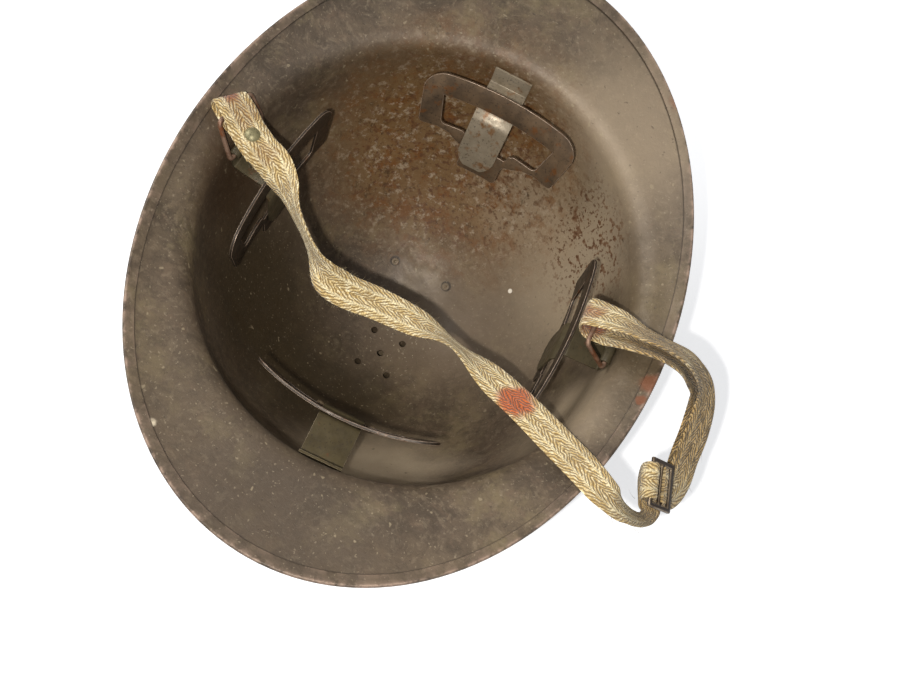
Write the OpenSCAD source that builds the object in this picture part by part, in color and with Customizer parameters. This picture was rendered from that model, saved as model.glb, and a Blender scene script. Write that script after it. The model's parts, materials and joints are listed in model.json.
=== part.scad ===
// Crested steel helmet lying upside down on its comb, seen into the bowl.
// Front (peak) is -Y, back (neck guard) is +Y, +Z points out of the bowl.
// The origin lies under the middle of the brim, level with the lowest point of the comb.

/* [Shell] */
// Length of the brim, front to back
shell_l = 300; // [280:1:320]
// Width of the brim, side to side
shell_w = 228; // [215:1:240]
// Length of the bowl inside its bend
bowl_l = 206; // [200:1:212]
// Width of the bowl inside its bend
bowl_w = 194; // [186:1:200]
// How far the bowl sits in front of the brim's middle
bowl_forward = 1; // [0:0.5:4]
// Depth of the bowl from the side of the brim to the crown
bowl_depth = 125; // [115:1:135]
// How much higher the brim's ends are than its sides
end_rise = 9.5; // [4:0.5:14]
// Drop from the side of the brim to the bend of the bowl
bend_drop = 10; // [7:0.5:13]
// How much higher the bend is at the ends than at the sides
bend_rise = 6.5; // [2:0.5:9]
// Thickness of the pressed sheet
sheet = 1; // [0.8:0.1:1.4]
// Width of the hem folded over the edge of the brim
hem_w = 5; // [3.5:0.5:7]
// Thickness of the folded hem
hem_t = 0.9; // [0.7:0.1:1.4]

/* [Vents] */
// Diameter of a vent hole
vent_d = 3.6; // [3:0.1:4.5]
// Distance across a pair of vent holes
vent_pair = 16.8; // [14:0.2:20]
// Distance from one row of vents to the next
vent_row = 10.4; // [8:0.2:12]
// Place of the middle vent row in front of the brim's middle
vent_forward = 4.5; // [0:0.5:9]

/* [Comb] */
// Height of the comb over the crown
comb_h = 14; // [11:0.5:18]
// Reach of the comb towards the front
comb_front = 86; // [78:1:90]
// Reach of the comb towards the back
comb_back = 64; // [58:1:76]
// Width of the raised crest at its foot
crest_w = 24; // [20:0.5:24]
// Width of the flange on each side of the crest
comb_flange = 7.5; // [6.5:0.5:9]
// Thickness of the comb's sheet
comb_t = 0.9; // [0.7:0.1:1.2]

/* [Comb rivets] */
// Diameter of a comb rivet
rivet_d = 3; // [2.4:0.1:3.6]
// Diameter of its outer head
rivet_head_d = 6; // [5:0.2:7]
// Height of its outer head
rivet_head_h = 1.4; // [1:0.1:2]
// Diameter of its flattened inner end
rivet_end_d = 4; // [3.8:0.1:5]
// Distance across the back pair
back_rivets = 31; // [30.5:0.5:33]
// Place of the back pair behind the brim's middle
back_rivet_y = 33.5; // [30:0.5:38]
// Distance across the front pair
front_rivets = 29; // [28.5:0.5:31]
// Place of the front pair in front of the brim's middle
front_rivet_y = 61; // [58:0.5:64]

/* [Liner plates] */
// Width of a plate along its top edge
plate_w = 84; // [76:1:86]
// Width of the back plate along its top edge
back_plate_w = 78; // [72:1:86]
// Narrowing of a plate from top to bottom
plate_taper = 6; // [0:0.5:8]
// Height of a plate at its arms
plate_h = 30; // [27:0.5:33]
// Height of a plate at its middle lobe
lobe_h = 48; // [44:0.5:52]
// Thickness of a plate
plate_t = 1.2; // [1:0.1:1.5]
// Width of a plate's arms
arm_w = 10; // [8:0.5:12]
// Height of a plate's top bar
bar_h = 11.5; // [10:0.5:13]
// Height of the window under the top bar
window_h = 16; // [14:0.5:17]
// Radius of a plate's top corners
plate_corner = 9; // [6:0.5:12]
// Bend radius of the front plate
front_plate_r = 115; // [105:1:180]
// Bend radius of the back plate
back_plate_r = 95; // [85:1:150]
// Bend radius of the side plates
side_plate_r = 230; // [160:1:260]
// Lean of the front plate from upright
front_lean = 15; // [10:1:18]
// Lean of the back plate from upright
back_lean = 23; // [12:1:25]
// Lean of the side plates from upright
side_lean = 1; // [0:1:6]
// Distance from the bowl to the front plate
front_gap = 21; // [17:0.5:23]
// Distance from the bowl to the back plate
back_gap = 13; // [10:0.5:16]
// Distance from the bowl to the side plates
side_gap = 22.5; // [20:0.5:24]
// Depth of a side plate's top edge below the bend line
side_drop = 3; // [2:0.5:6]
// Depth of an end plate's top edge below the bend line
end_drop = 7.5; // [5:0.5:9]

/* [Brackets] */
// Width of a bracket strip
strip_w = 19; // [16:0.5:20]
// Thickness of a bracket strip
strip_t = 1; // [0.8:0.1:1.2]
// Length of the foot on the bowl
foot_l = 10; // [8:0.5:12]
// Length of the tongue below the top bar
tongue_l = 33; // [28:0.5:34]
// Length of the curl that holds a bail
curl_l = 12; // [10:0.5:14]
// Place of the front bracket to the right of the middle
front_clip_x = 2; // [-3:0.5:3]
// Place of the right bracket behind the brim's middle
right_clip_y = -1; // [-4:0.5:8]
// Place of the left bracket behind the brim's middle
left_clip_y = 8; // [-4:0.5:9]
// How far the left plate has slid forward on its tongue
left_plate_slip = 2; // [0:0.5:6]
// How far the right plate has slid forward on its tongue
right_plate_slip = 2; // [0:0.5:6]
// How far the back plate has slid to the right on its tongue
back_plate_slip = 3; // [0:0.5:6]
// Clearance between pieces that lie on each other
seat_gap = 0.3; // [0.2:0.05:0.4]

/* [Bails] */
// Diameter of the bail wire
wire_d = 2.2; // [1.8:0.1:2.6]
// Length of a bail from hinge to top bar
bail_l = 17.5; // [16:0.5:18.5]
// Length of the hinge bar
hinge_bar = 24.5; // [22:0.5:26]
// Length of the top bar
top_bar = 21; // [19:0.5:22]
// Length over which the wire is bent at a corner
wire_bend = 1.6; // [1.5:0.1:2.2]
// Clearance of the wire in its curl
hinge_clear = 0.3; // [0.2:0.05:0.4]
// Lean of the right bail towards the bowl
right_bail_lean = 45; // [20:1:50]
// Lean of the left bail towards the brim
left_bail_lean = 32; // [20:1:42]
// How far the left bail's top bar is bent backward
left_bail_skew = 4; // [0:0.5:5]
// How much shorter the left bail's back leg is bent
left_bail_dip = 4; // [0:0.5:5]
// How far each bail has slid backward in its curl
bail_slip = 4; // [0:0.1:4.2]

/* [Chin strap] */
// Width of the webbing
strap_w = 16; // [14:0.5:17]
// Thickness of the webbing
strap_t = 1.6; // [1.2:0.1:2]
// Diameter of the strap rivet's domed head
strap_rivet_d = 7; // [6:0.5:9]
// Diameter of the strap rivet's shank
strap_shank_d = 2.6; // [2:0.1:3]

/* [Slider] */
// Size of the slider across the strap
slider_w = 21; // [20:0.5:23]
// Size of the slider along the strap
slider_l = 15; // [13:0.5:17]
// Thickness of the slider's sheet
slider_t = 1.6; // [1.2:0.1:2]
// Width of the slider's bars
slider_bar = 2.2; // [1.8:0.1:2.6]

/* [Hidden] */
$fn = 40;

// Counts that set how finely the pressed sheets are drawn
turns = 60;
dome_n = 9;
bend_n = 4;
brim_n = 3;
comb_n = 22;

// Heights
crown_in = comb_h + sheet;
rim_z = crown_in + bowl_depth - 1;
mouth_z = crown_in + bowl_depth;
bend_z = rim_z - bend_drop;
bend_r = 7;
bend_out = 9;
foot_rise = 1;
curl_rise = 1.5;
bowl_y = -bowl_forward;
a_bowl = bowl_w / 2;
b_bowl = bowl_l / 2;

// Plain vector helpers
function unit(v) = v / norm(v);
function bez(a, b, c, t) = (1 - t) * (1 - t) * a + 2 * t * (1 - t) * b + t * t * c;

// Inner surface of the shell at azimuth t, from the crown (u = 0) to the rim
function dome_pt(t, cosine) =
  let (sine = sqrt(max(0, 1 - cosine * cosine)))
  [a_bowl * sine * cos(t), bowl_y + b_bowl * sine * sin(t), mouth_z - bowl_depth * cosine];
function bend_height(t) = bend_z + bend_rise * pow(sin(t), 2);
function wall_top(t) = dome_pt(t, (mouth_z - bend_height(t) + bend_r) / bowl_depth);
function bend_pt(t) = [a_bowl * cos(t), bowl_y + b_bowl * sin(t), bend_height(t)];
function rim_pt(t) = [shell_w / 2 * cos(t), shell_l / 2 * sin(t), rim_z + end_rise * pow(sin(t), 2)];
function brim_start(t) = bend_pt(t) + bend_out * unit(rim_pt(t) - bend_pt(t));
function brim_mid(t) = (brim_start(t) + rim_pt(t)) / 2 - [0, 0, 1.2];
function shell_pt(t, u) =
  u < dome_n ? dome_pt(t, cos(u / dome_n * acos((mouth_z - bend_height(t) + bend_r) / bowl_depth)))
  : u < dome_n + bend_n ? bez(wall_top(t), bend_pt(t), brim_start(t), (u - dome_n) / bend_n)
  : bez(brim_start(t), brim_mid(t), rim_pt(t), (u - dome_n - bend_n) / brim_n);
rim_u = dome_n + bend_n + brim_n;

// Outward normal of the shell and a point at depth d behind its inner surface
function shell_normal(t, u) =
  let (e = 0.02, w = max(u, 0.1))
  unit(cross(shell_pt(t + 1, w) - shell_pt(t - 1, w), shell_pt(t, w + e) - shell_pt(t, w - e)));
function behind(t, u, d) = shell_pt(t, u) - d * -1 * shell_normal(t, u);

// Height of the crown's outer surface and its normal, for what sits on the crown
function crown_ratio(x, y) = pow(x / (a_bowl + sheet), 2) + pow((y - bowl_y) / (b_bowl + sheet), 2);
function crown_z(x, y) = mouth_z - (bowl_depth + sheet) * sqrt(1 - crown_ratio(x, y));
function crown_normal(x, y) = unit([
  x / pow(a_bowl + sheet, 2),
  (y - bowl_y) / pow(b_bowl + sheet, 2),
  (crown_z(x, y) - mouth_z) / pow(bowl_depth + sheet, 2)]);

// Places of the vents and the comb rivets
vents = [for (row = [-2:2], side = [-1, 1])
  if (row % 2 == 0 || side > 0)
    [row % 2 == 0 ? side * vent_pair / 2 : 0, row * vent_row - vent_forward]];
comb_rivet_places = [
  [-back_rivets / 2, back_rivet_y], [back_rivets / 2, back_rivet_y],
  [-front_rivets / 2, -front_rivet_y], [front_rivets / 2, -front_rivet_y]];

// Stands a child on the crown at x, y with its own +Z along the outward normal
module on_crown(x, y) {
  n = crown_normal(x, y);
  translate([x, y, crown_z(x, y)])
    rotate([0, acos(n[2]), atan2(n[1], n[0])])
      children();
}

// Closed ring of one meridian of the shell: inner face, hem, edge, outer face
hem_u = rim_u - brim_n * hem_w / (shell_l / 2 - b_bowl - bend_out);
function hem_at(t) =
  let (run = norm(rim_pt(t) - brim_start(t)))
  rim_u - brim_n * hem_w / run;
function meridian(t) = concat(
  [for (k = [1:rim_u - 2]) behind(t, k, 0)],
  [for (q = [0.5, 1]) behind(t, rim_u - 2 + q * (hem_at(t) - rim_u + 2), 0)],
  [behind(t, hem_at(t), -hem_t)],
  [behind(t, (hem_at(t) + rim_u) / 2, -hem_t)],
  [behind(t, rim_u - 0.12, -hem_t - 0.25)],
  [behind(t, rim_u + 0.06, -hem_t * 0.4)],
  [behind(t, rim_u + 0.04, sheet * 0.6)],
  [behind(t, rim_u - 0.12, sheet + 0.2)],
  [for (k = [rim_u - 1:-1:1]) behind(t, k, sheet)]);

// Shell: one pressed bowl with its flared brim and folded hem
module shell() {
  rings = [for (i = [0:turns - 1]) meridian(i * 360 / turns)];
  m = len(rings[0]);
  pole_in = [0, bowl_y, crown_in];
  pole_out = [0, bowl_y, crown_in - sheet];
  points = concat([for (r = rings) each r], [pole_in, pole_out]);
  faces = [for (i = [0:turns - 1])
    let (a = i * m, b = ((i + 1) % turns) * m)
    each concat(
      [[a, turns * m, b]],
      [for (k = [0:m - 2]) each [[a + k, b + k, a + k + 1], [b + k, b + k + 1, a + k + 1]]],
      [[a + m - 1, b + m - 1, turns * m + 1]])];
  color("#5f554b")
    difference() {
      polyhedron(points = points, faces = faces, convexity = 8);
      for (v = vents)
        translate([v[0], v[1], 0])
          cylinder(d = vent_d, h = 2 * crown_in + 20);
      for (r = comb_rivet_places)
        on_crown(r[0], r[1])
          cylinder(d = rivet_d + 2 * seat_gap, h = 4 * sheet, center = true);
    }
}

// Comb: outline, height and section of the pressed crest over the crown
comb_mid = (comb_back - comb_front) / 2;
comb_half = (comb_back + comb_front) / 2;
function comb_y(s) = comb_mid + comb_half * s;
function crest_env(s) = pow(max(0, 1 - pow(abs(s) / 0.93, 2.6)), 0.62);
function crest_half(s) = crest_w / 2 * (0.32 + 0.68 * pow(max(0, 1 - pow(abs(s), 2.4)), 0.6));
function comb_half_w(s) = (crest_w / 2 + comb_flange) * pow(max(0.02, 1 - pow(abs(s), 3.2)), 0.5);
crest_section = [[1.16, 0], [1.02, 0.05], [0.94, 0.3], [0.8, 0.58], [0.56, 0.83], [0.28, 0.96]];
function comb_side(s, e) = concat(
  [[comb_half_w(s), e]],
  [for (c = crest_section)
    [min(comb_half_w(s) - 0.4 * (1.16 - c[0]) - 0.3, crest_half(s) * c[0] + (c[1] > 0 ? e : e / 2)),
      e + c[1] * (comb_h - seat_gap - comb_t) * crest_env(s)]]);
function comb_ring(s, e) =
  let (y = comb_y(s), right = comb_side(s, e), n = len(right))
  concat(
    [for (p = right) [p[0], y, crown_z(p[0], y) - seat_gap - p[1]]],
    [[0, y, crown_z(0, y) - seat_gap - e - (comb_h - seat_gap - comb_t) * crest_env(s)]],
    [for (i = [n - 1:-1:0]) let (p = right[i]) [-p[0], y, crown_z(p[0], y) - seat_gap - p[1]]]);
module comb() {
  stations = [for (i = [0:comb_n]) let (q = -1 + 2 * i / comb_n) sin(q * 90)];
  inner = [for (s = stations) comb_ring(s, 0)];
  outer = [for (s = stations) comb_ring(s, comb_t)];
  m = len(inner[0]);
  top = (comb_n + 1) * m;
  points = concat([for (r = inner) each r], [for (r = outer) each r]);
  skin = [for (i = [0:comb_n - 1], k = [0:m - 2])
    let (a = i * m + k, b = a + m)
    each [[a, a + 1, b], [a + 1, b + 1, b], [top + a, top + b, top + a + 1], [top + a + 1, top + b, top + b + 1]]];
  sides = [for (i = [0:comb_n - 1])
    let (a = i * m, b = a + m, c = a + m - 1, d = b + m - 1)
    each [[a, b, top + a], [b, top + b, top + a], [c, top + c, d], [d, top + c, top + d]]];
  ends = [for (k = [0:m - 2])
    let (a = k, b = comb_n * m + k)
    each [[a, top + a, a + 1], [a + 1, top + a, top + a + 1], [b, b + 1, top + b], [b + 1, top + b + 1, top + b]]];
  color("#4c4a3a")
    difference() {
      polyhedron(points = points, faces = concat(skin, sides, ends), convexity = 8);
      for (r = comb_rivet_places)
        on_crown(r[0], r[1])
          cylinder(d = rivet_d + 2 * seat_gap, h = 6 * comb_t, center = true);
    }
}

// Comb rivets: round head outside, shank through both sheets, dished end inside
module comb_rivets() {
  color("#6b6152")
    for (r = comb_rivet_places)
      on_crown(r[0], r[1])
        comb_rivet();
}
module comb_rivet() {
  head_z = 2 * seat_gap + comb_t;
  end_z = -sheet - 2 * seat_gap;
  cap_r = (pow(rivet_head_d / 2, 2) + pow(rivet_head_h, 2)) / (2 * rivet_head_h);
  translate([0, 0, end_z - 0.2])
    cylinder(d = rivet_d, h = head_z - end_z + 0.4);
  intersection() {
    translate([0, 0, head_z + rivet_head_h - cap_r])
      sphere(r = cap_r);
    translate([0, 0, head_z])
      cylinder(d = rivet_head_d, h = rivet_head_h);
  }
  difference() {
    translate([0, 0, end_z - 0.6])
      cylinder(d = rivet_end_d, h = 0.6);
    translate([0, 0, end_z - 0.6 - 1.2])
      sphere(r = 1.5);
  }
}

// Where a clip meets the bowl: azimuth, frame and wall
function clip_azimuth(y, side) = side > 0 ? asin((y - bowl_y) / b_bowl) : 180 - asin((y - bowl_y) / b_bowl);
function wall_normal(t) = unit([cos(t) / a_bowl, sin(t) / b_bowl]);
function wall_reach(t) = a_bowl * cos(t) * wall_normal(t)[0] + b_bowl * sin(t) * wall_normal(t)[1];
function wall_bend(t) = pow(pow(a_bowl * sin(t), 2) + pow(b_bowl * cos(t), 2), 1.5) / (a_bowl * b_bowl);
function wall_y(t, z) = (sqrt(1 - pow((mouth_z - z) / bowl_depth, 2)) - 1) * wall_reach(t);
// Puts a child with +Y outward on the bowl's widest line at azimuth t
module at_wall(t) {
  translate([a_bowl * cos(t), bowl_y + b_bowl * sin(t), 0])
    rotate([0, 0, atan2(wall_normal(t)[1], wall_normal(t)[0]) - 90])
      children();
}

// Strip helpers: a path with rounded corners, and its outline at a thickness
function rounded(path, r) = concat(
  [path[0]],
  [for (i = [1:len(path) - 2])
    let (p = path[i], a = unit(path[i - 1] - p), b = unit(path[i + 1] - p))
    for (q = [0, 0.25, 0.5, 0.75, 1]) bez(p + r * a, p, p + r * b, q)],
  [path[len(path) - 1]]);
function side_step(path, i) =
  let (n = len(path),
    a = unit(path[min(i + 1, n - 1)] - path[min(i, n - 2)]),
    b = unit(path[max(i, 1)] - path[max(i - 1, 0)]),
    m = unit([-(a[1] + b[1]), a[0] + b[0]]))
  m / (m * [-a[1], a[0]]);
function ribbon(path, t) = concat(
  [for (i = [0:len(path) - 1]) path[i] + t / 2 * side_step(path, i)],
  [for (i = [len(path) - 1:-1:0]) path[i] - t / 2 * side_step(path, i)]);

// A point of a leaning plate: v down its face, n outward from its middle
function on_plate(gap, lean, top, v, n) =
  [-gap, top] + v * [-sin(lean), -cos(lean)] + n * [cos(lean), -sin(lean)];
function foot_top(t) = bend_height(t) - bend_r + foot_rise;
function plate_top(t) = bend_height(t) - side_drop - (end_drop - side_drop) * abs(sin(t));
function foot_inset(t) = seat_gap + 0.1 + pow(strip_w, 2) / (8 * wall_bend(t)) + strip_t / 2;
function strip_path(t, gap, lean, r) =
  let (top = plate_top(t),
    z1 = foot_top(t),
    z0 = z1 - foot_l,
    back = plate_t / 2 + seat_gap + strip_t / 2,
    ahead = -back - pow(strip_w, 2) / (8 * r))
  rounded([
    [wall_y(t, z1) - foot_inset(t), z1],
    [wall_y(t, z0) - foot_inset(t), z0],
    on_plate(gap, lean, top, bar_h - 5, back),
    on_plate(gap, lean, top, bar_h + 0.8, back),
    on_plate(gap, lean, top, bar_h + 5.5, ahead),
    on_plate(gap, lean, top, bar_h + tongue_l, ahead)], 1.4);

// Bracket: foot on the bowl, flange, and a tongue that threads the plate's window
module bracket(t, gap, lean, r) {
  path = strip_path(t, gap, lean, r);
  tip = path[len(path) - 1];
  color("#5d5746")
    intersection() {
      rotate([90, 0, 90])
        linear_extrude(height = strip_w, center = true)
          polygon(ribbon(path, strip_t));
      union() {
        translate([-strip_w / 2, tip[0] - 5, tip[1] + strip_w / 2 - 3])
          cube([strip_w, 10 - tip[0], 100]);
        translate([0, tip[0] + 10, tip[1] + strip_w / 2 - 1])
          rotate([90, 0, 0])
            cylinder(r = strip_w / 2, h = 20);
      }
    }
}

// Side bracket: the same strip, tapered to a curl that carries the bail
function curl_r() = wire_d / 2 + hinge_clear + strip_t;
function curl_centre(t) = [wall_y(t, foot_top(t)) - foot_inset(t) + strip_t / 2 - curl_r(), foot_top(t) + curl_rise];
module side_bracket(t) {
  c = curl_centre(t);
  color("#5d5746")
    difference() {
      union() {
        intersection() {
          bracket(t, side_gap, side_lean, side_plate_r);
          linear_extrude(height = 2 * mouth_z)
            polygon([
              [-strip_w / 2, -2 * side_gap], [strip_w / 2, -2 * side_gap],
              [strip_w / 2, -side_gap], [curl_l / 2, c[0]], [curl_l / 2, 10],
              [-curl_l / 2, 10], [-curl_l / 2, c[0]], [-strip_w / 2, -side_gap]]);
        }
        translate([-curl_l / 2, c[0], c[1]])
          rotate([0, 90, 0])
            cylinder(r = curl_r(), h = curl_l);
      }
      translate([-curl_l, c[0], c[1]])
        rotate([0, 90, 0])
          cylinder(r = wire_d / 2 + hinge_clear, h = 2 * curl_l);
    }
}

// Liner plate: curved spring plate with a window and a lobe behind the tongue
function arc(c, r, a0, a1) = [for (i = [0:5]) c + r * [cos(a0 + (a1 - a0) * i / 5), sin(a0 + (a1 - a0) * i / 5)]];
function mirrored(half) = concat(half, [for (i = [len(half) - 1:-1:0]) [-half[i][0], half[i][1]]]);
lobe_w = strip_w + 2;
module plate_outline(width) {
  top = width / 2;
  low = top - plate_taper / 2;
  foot = -plate_h;
  difference() {
    polygon(mirrored(concat(
      [[0, 0]],
      arc([top - plate_corner, -plate_corner], plate_corner, 90, 0),
      arc([low - 2.5, foot + 2.5], 2.5, 0, -90),
      [[low - arm_w, foot], [low - arm_w - 6, foot - 1.5], [lobe_w / 2 + 5, foot - 4.5]],
      arc([lobe_w / 2 + 3, foot - 8.5], 3, 90, 180),
      arc([lobe_w / 2 - 2, -lobe_h + 2], 2, 0, -90))));
    polygon(mirrored(concat(
      [[0, -bar_h]],
      [[top - arm_w, -bar_h]],
      arc([low - arm_w - 3, -bar_h - window_h + 3], 3, 0, -90),
      [[strip_w / 2 + 4.5, -bar_h - window_h], [strip_w / 2 + 2.2, -bar_h - window_h - 1.4],
        [strip_w / 2 + 1, -bar_h - window_h - 5]])));
  }
}
module plate(t, gap, lean, r, slip = 0, width = plate_w) {
  color("#4f453a")
    at_wall(t)
      translate([0, -gap, plate_top(t)])
        rotate([-lean, 0, 0])
          intersection() {
            rotate([90, 0, asin(slip / r)])
              linear_extrude(height = 60, center = true)
                translate([slip, 0])
                  plate_outline(width);
            translate([0, -r, -lobe_h - 5])
              difference() {
                cylinder(r = r + plate_t / 2, h = lobe_h + 10, $fn = 180);
                translate([0, 0, -1])
                  cylinder(r = r - plate_t / 2, h = lobe_h + 12, $fn = 180);
              }
          }
}

// The four clips, each a bracket and a plate
front_t = -90 + asin(front_clip_x / a_bowl);
back_t = 90;
left_t = clip_azimuth(left_clip_y, -1);
right_t = clip_azimuth(right_clip_y, 1);
module front_bracket() at_wall(front_t) bracket(front_t, front_gap, front_lean, front_plate_r);
module back_bracket() at_wall(back_t) bracket(back_t, back_gap, back_lean, back_plate_r);
module left_bracket() at_wall(left_t) side_bracket(left_t);
module right_bracket() at_wall(right_t) side_bracket(right_t);
module front_plate() plate(front_t, front_gap, front_lean, front_plate_r);
module back_plate() plate(back_t, back_gap, back_lean, back_plate_r, back_plate_slip, back_plate_w);
module left_plate() plate(left_t, side_gap, side_lean, side_plate_r, -left_plate_slip);
module right_plate() plate(right_t, side_gap, side_lean, side_plate_r, right_plate_slip);

// Tube swept along a flat path in the XY plane
module tube(path, d, sides) {
  n = len(path);
  points = [for (i = [0:n - 1], k = [0:sides - 1])
    let (a = 360 * (k + 0.5) / sides, w = side_step(path, i))
    [path[i][0] + d / 2 * cos(a) * w[0], path[i][1] + d / 2 * cos(a) * w[1], d / 2 * sin(a)]];
  faces = concat(
    [[for (k = [0:sides - 1]) k]],
    [for (i = [0:n - 2], k = [0:sides - 1])
      let (a = i * sides, b = a + sides, l = (k + 1) % sides)
      each [[a + k, b + k, a + l], [a + l, b + k, b + l]]],
    [[for (k = [sides - 1:-1:0]) (n - 1) * sides + k]]);
  polyhedron(points = points, faces = faces, convexity = 6);
}
// Bail: its hinge bar runs in the curl, its top bar holds the strap
module bail(t, lean, slip, skew, dip) {
  c = curl_centre(t);
  color("#5a4030")
    at_wall(t)
      translate([slip, c[0], c[1]])
        rotate([90 + lean, 0, 0])
          union() {
            rotate([0, 90, 0])
              cylinder(d = wire_d, h = hinge_bar + 0.8 * wire_d, center = true);
            tube(rounded([
              [hinge_bar / 2, 0.3],
              [skew + top_bar / 2, bail_l - dip],
              [skew - top_bar / 2, bail_l],
              [-hinge_bar / 2, 0.3]], wire_bend), wire_d, 12);
          }
}
// Along the wall the left clip's own X runs to the back, the right clip's to the front
module left_bail() bail(left_t, -left_bail_lean, bail_slip, left_bail_skew, left_bail_dip);
module right_bail() bail(right_t, right_bail_lean, -bail_slip, 0, 0);

// Slider: place of its middle, heading of the strap through it and its dip
slider_at = [134, -48, 131];
slider_turn = 15;
slider_dip = 34;
slider_pitch = (slider_l - slider_bar) / 2;
run = [cos(slider_turn) * cos(slider_dip), sin(slider_turn) * cos(slider_dip), -sin(slider_dip)];
rise = [cos(slider_turn) * sin(slider_dip), sin(slider_turn) * sin(slider_dip), cos(slider_dip)];
function at_slider(u, w) =
  let (p = slider_at + u * run + w * rise)
  [p[0], p[1], p[2], slider_turn + 90, 0];

// Strap rows: x, y, z, then heading and tilt of the line across the strap.
// The last value of the folded rows is half the distance between their two layers.
left_rows = [
  [-102.4, 17.2, 138.3, 54, -12, 2.8],
  [-96, 13.2, 137.4, 56, -11, 2.7],
  [-91.4, 10.4, 137.3, 57, -5, 1.06],
  [-87.4, 8, 137, 58, -2, 1],
  [-80, 4, 136.6, 58, 0, 1]];
across_rows = [
  [-74, 1.8, 136, 58, 16],
  [-68.6, -1.4, 134, 57, 42],
  [-63.4, -4.8, 131.4, 55, 66],
  [-58, -9.4, 129, 52, 84],
  [-49.6, -16.2, 126.8, 50, 92],
  [-41.4, -22.4, 124, 50, 88],
  [-37, -25.4, 122.2, 54, 68],
  [-31.6, -28.2, 120.4, 67, 34],
  [-23, -28.8, 118, 83, 4],
  [-8, -26.8, 116, 88, -4],
  [7, -26, 115, 88, -9],
  [15, -26, 115, 86, -23],
  [22.6, -26.6, 115.5, 82, -50],
  [31, -28.2, 116.2, 75, -62],
  [38, -30.4, 117.6, 68, -50],
  [46, -33.4, 119.6, 63, -26],
  [54, -37, 122.2, 61, -11],
  [66, -42.8, 128, 61, -8],
  [84, -52.6, 136.4, 60, -8],
  [100, -61, 143.5, 61, -8],
  [108, -65.4, 145.8, 62, -10],
  [114.6, -68, 145.2, 67, -22],
  [120, -68.8, 142, 73, -50],
  [125, -68, 137, 81, -68],
  [129.4, -65.4, 131, 92, -58],
  [132.4, -60.8, 125, 104, -20]];
loop_rows = [
  [141.2, -45.6, 122, 106, 0, 1],
  [144, -39.2, 121.4, 135, 23, 1.2],
  [144, -28, 123, 169, 43, 1.3],
  [143.4, -16.6, 124.6, 184, 49, 1.4],
  [140, -4.8, 128.2, 207, 50, 1.7],
  [136, 1, 132.4, 230, 50, 1.9],
  [129, 2.4, 138, 252, 50, 2],
  [118, 0.8, 146.4, 266, 50, 2.1],
  [108, 0, 149.5, 270, 50, 2.4],
  [99.4, 0, 148.4, 270, 46, 2.8],
  [92, 1.6, 144.6, 270, 36, 3.7],
  [85.6, 3.2, 139.8, 270, 22, 4.6],
  [79.4, 4, 136.2, 270, 14, 4.8]];

// Webbing: a flat band swept along rows; every row keeps its own line across
function row_pt(list, i) = let (r = list[max(0, min(len(list) - 1, i))]) [r[0], r[1], r[2]];
function row_dir(list, i) = unit(row_pt(list, i + 1) - row_pt(list, i - 1));
function row_side(list, i) =
  let (a = list[i][3], b = list[i][4], d = row_dir(list, i), s = [cos(a) * cos(b), sin(a) * cos(b), sin(b)])
  unit(s - (s * d) * d);
function row_up(list, i) = cross(row_dir(list, i), row_side(list, i));
function layer(list, side) =
  [for (i = [0:len(list) - 1])
    let (p = row_pt(list, i) + side * list[i][5] * row_up(list, i))
    [p[0], p[1], p[2], list[i][3], list[i][4]]];
function backwards(list) = [for (i = [len(list) - 1:-1:0]) list[i]];
// Half turn of the band around the end of a folded stretch; list[i] is its last row
function fold(list, i, way, side) =
  let (d = way * row_dir(list, i), u = side * row_up(list, i), g = list[i][5])
  [for (a = [36:36:144])
    let (p = row_pt(list, i) + g * (cos(a) * u + sin(a) * d))
    [p[0], p[1], p[2], list[i][3], list[i][4]]];
module band(list, w, t) {
  n = len(list);
  section = [[-0.5, -0.3], [-0.46, -0.5], [0.46, -0.5], [0.5, -0.3], [0.5, 0.3], [0.46, 0.5], [-0.46, 0.5], [-0.5, 0.3]];
  m = len(section);
  points = [for (i = [0:n - 1])
    let (s = row_side(list, i), u = row_up(list, i))
    for (q = section) row_pt(list, i) + q[0] * w * s + q[1] * t * u];
  faces = concat(
    [[for (k = [m - 1:-1:0]) k]],
    [for (i = [0:n - 2], k = [0:m - 1])
      let (a = i * m, b = a + m, l = (k + 1) % m)
      each [[a + k, a + l, b + k], [a + l, b + l, b + k]]],
    [[for (k = [0:m - 1]) (n - 1) * m + k]]);
  polyhedron(points = points, faces = faces, convexity = 10);
}

// The strap in one piece: flap, left fold, across the bowl, slider, loop, right fold, end
slip = seat_gap + (strap_t + slider_t) / 2;
edge_turn = slider_pitch + slider_bar / 2 + slip - 0.2;
strap_rows = concat(
  backwards(layer(left_rows, -1)),
  fold(left_rows, 0, -1, -1),
  layer(left_rows, 1),
  across_rows,
  [at_slider(-3, -9), at_slider(-6.5, -5), at_slider(-edge_turn, -1.6), at_slider(-edge_turn, 0.4),
    at_slider(-slider_pitch - 1, slip), at_slider(-slider_pitch + 1, slip + 0.1), at_slider(-slider_pitch / 2, 0),
    at_slider(-1.6, -slip + 0.2), at_slider(0, -slip), at_slider(slider_pitch / 2, -slip - 0.8), at_slider(slider_pitch, -slip - 2.1)],
  layer(loop_rows, -1),
  fold(loop_rows, len(loop_rows) - 1, 1, -1),
  backwards(layer(loop_rows, 1)),
  [at_slider(slider_pitch, -slip), at_slider(slider_pitch - 1.6, -slip + 0.2), at_slider(slider_pitch / 2, 0),
    at_slider(1.6, slip - 0.2), at_slider(0, slip), at_slider(-1, slip)]);
module chin_strap() {
  color("#b49b5e")
    difference() {
      band(strap_rows, strap_w, strap_t);
      at_rivet()
        cylinder(d = strap_shank_d + 2 * seat_gap, h = 4 * strap_t, center = true);
    }
}

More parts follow.
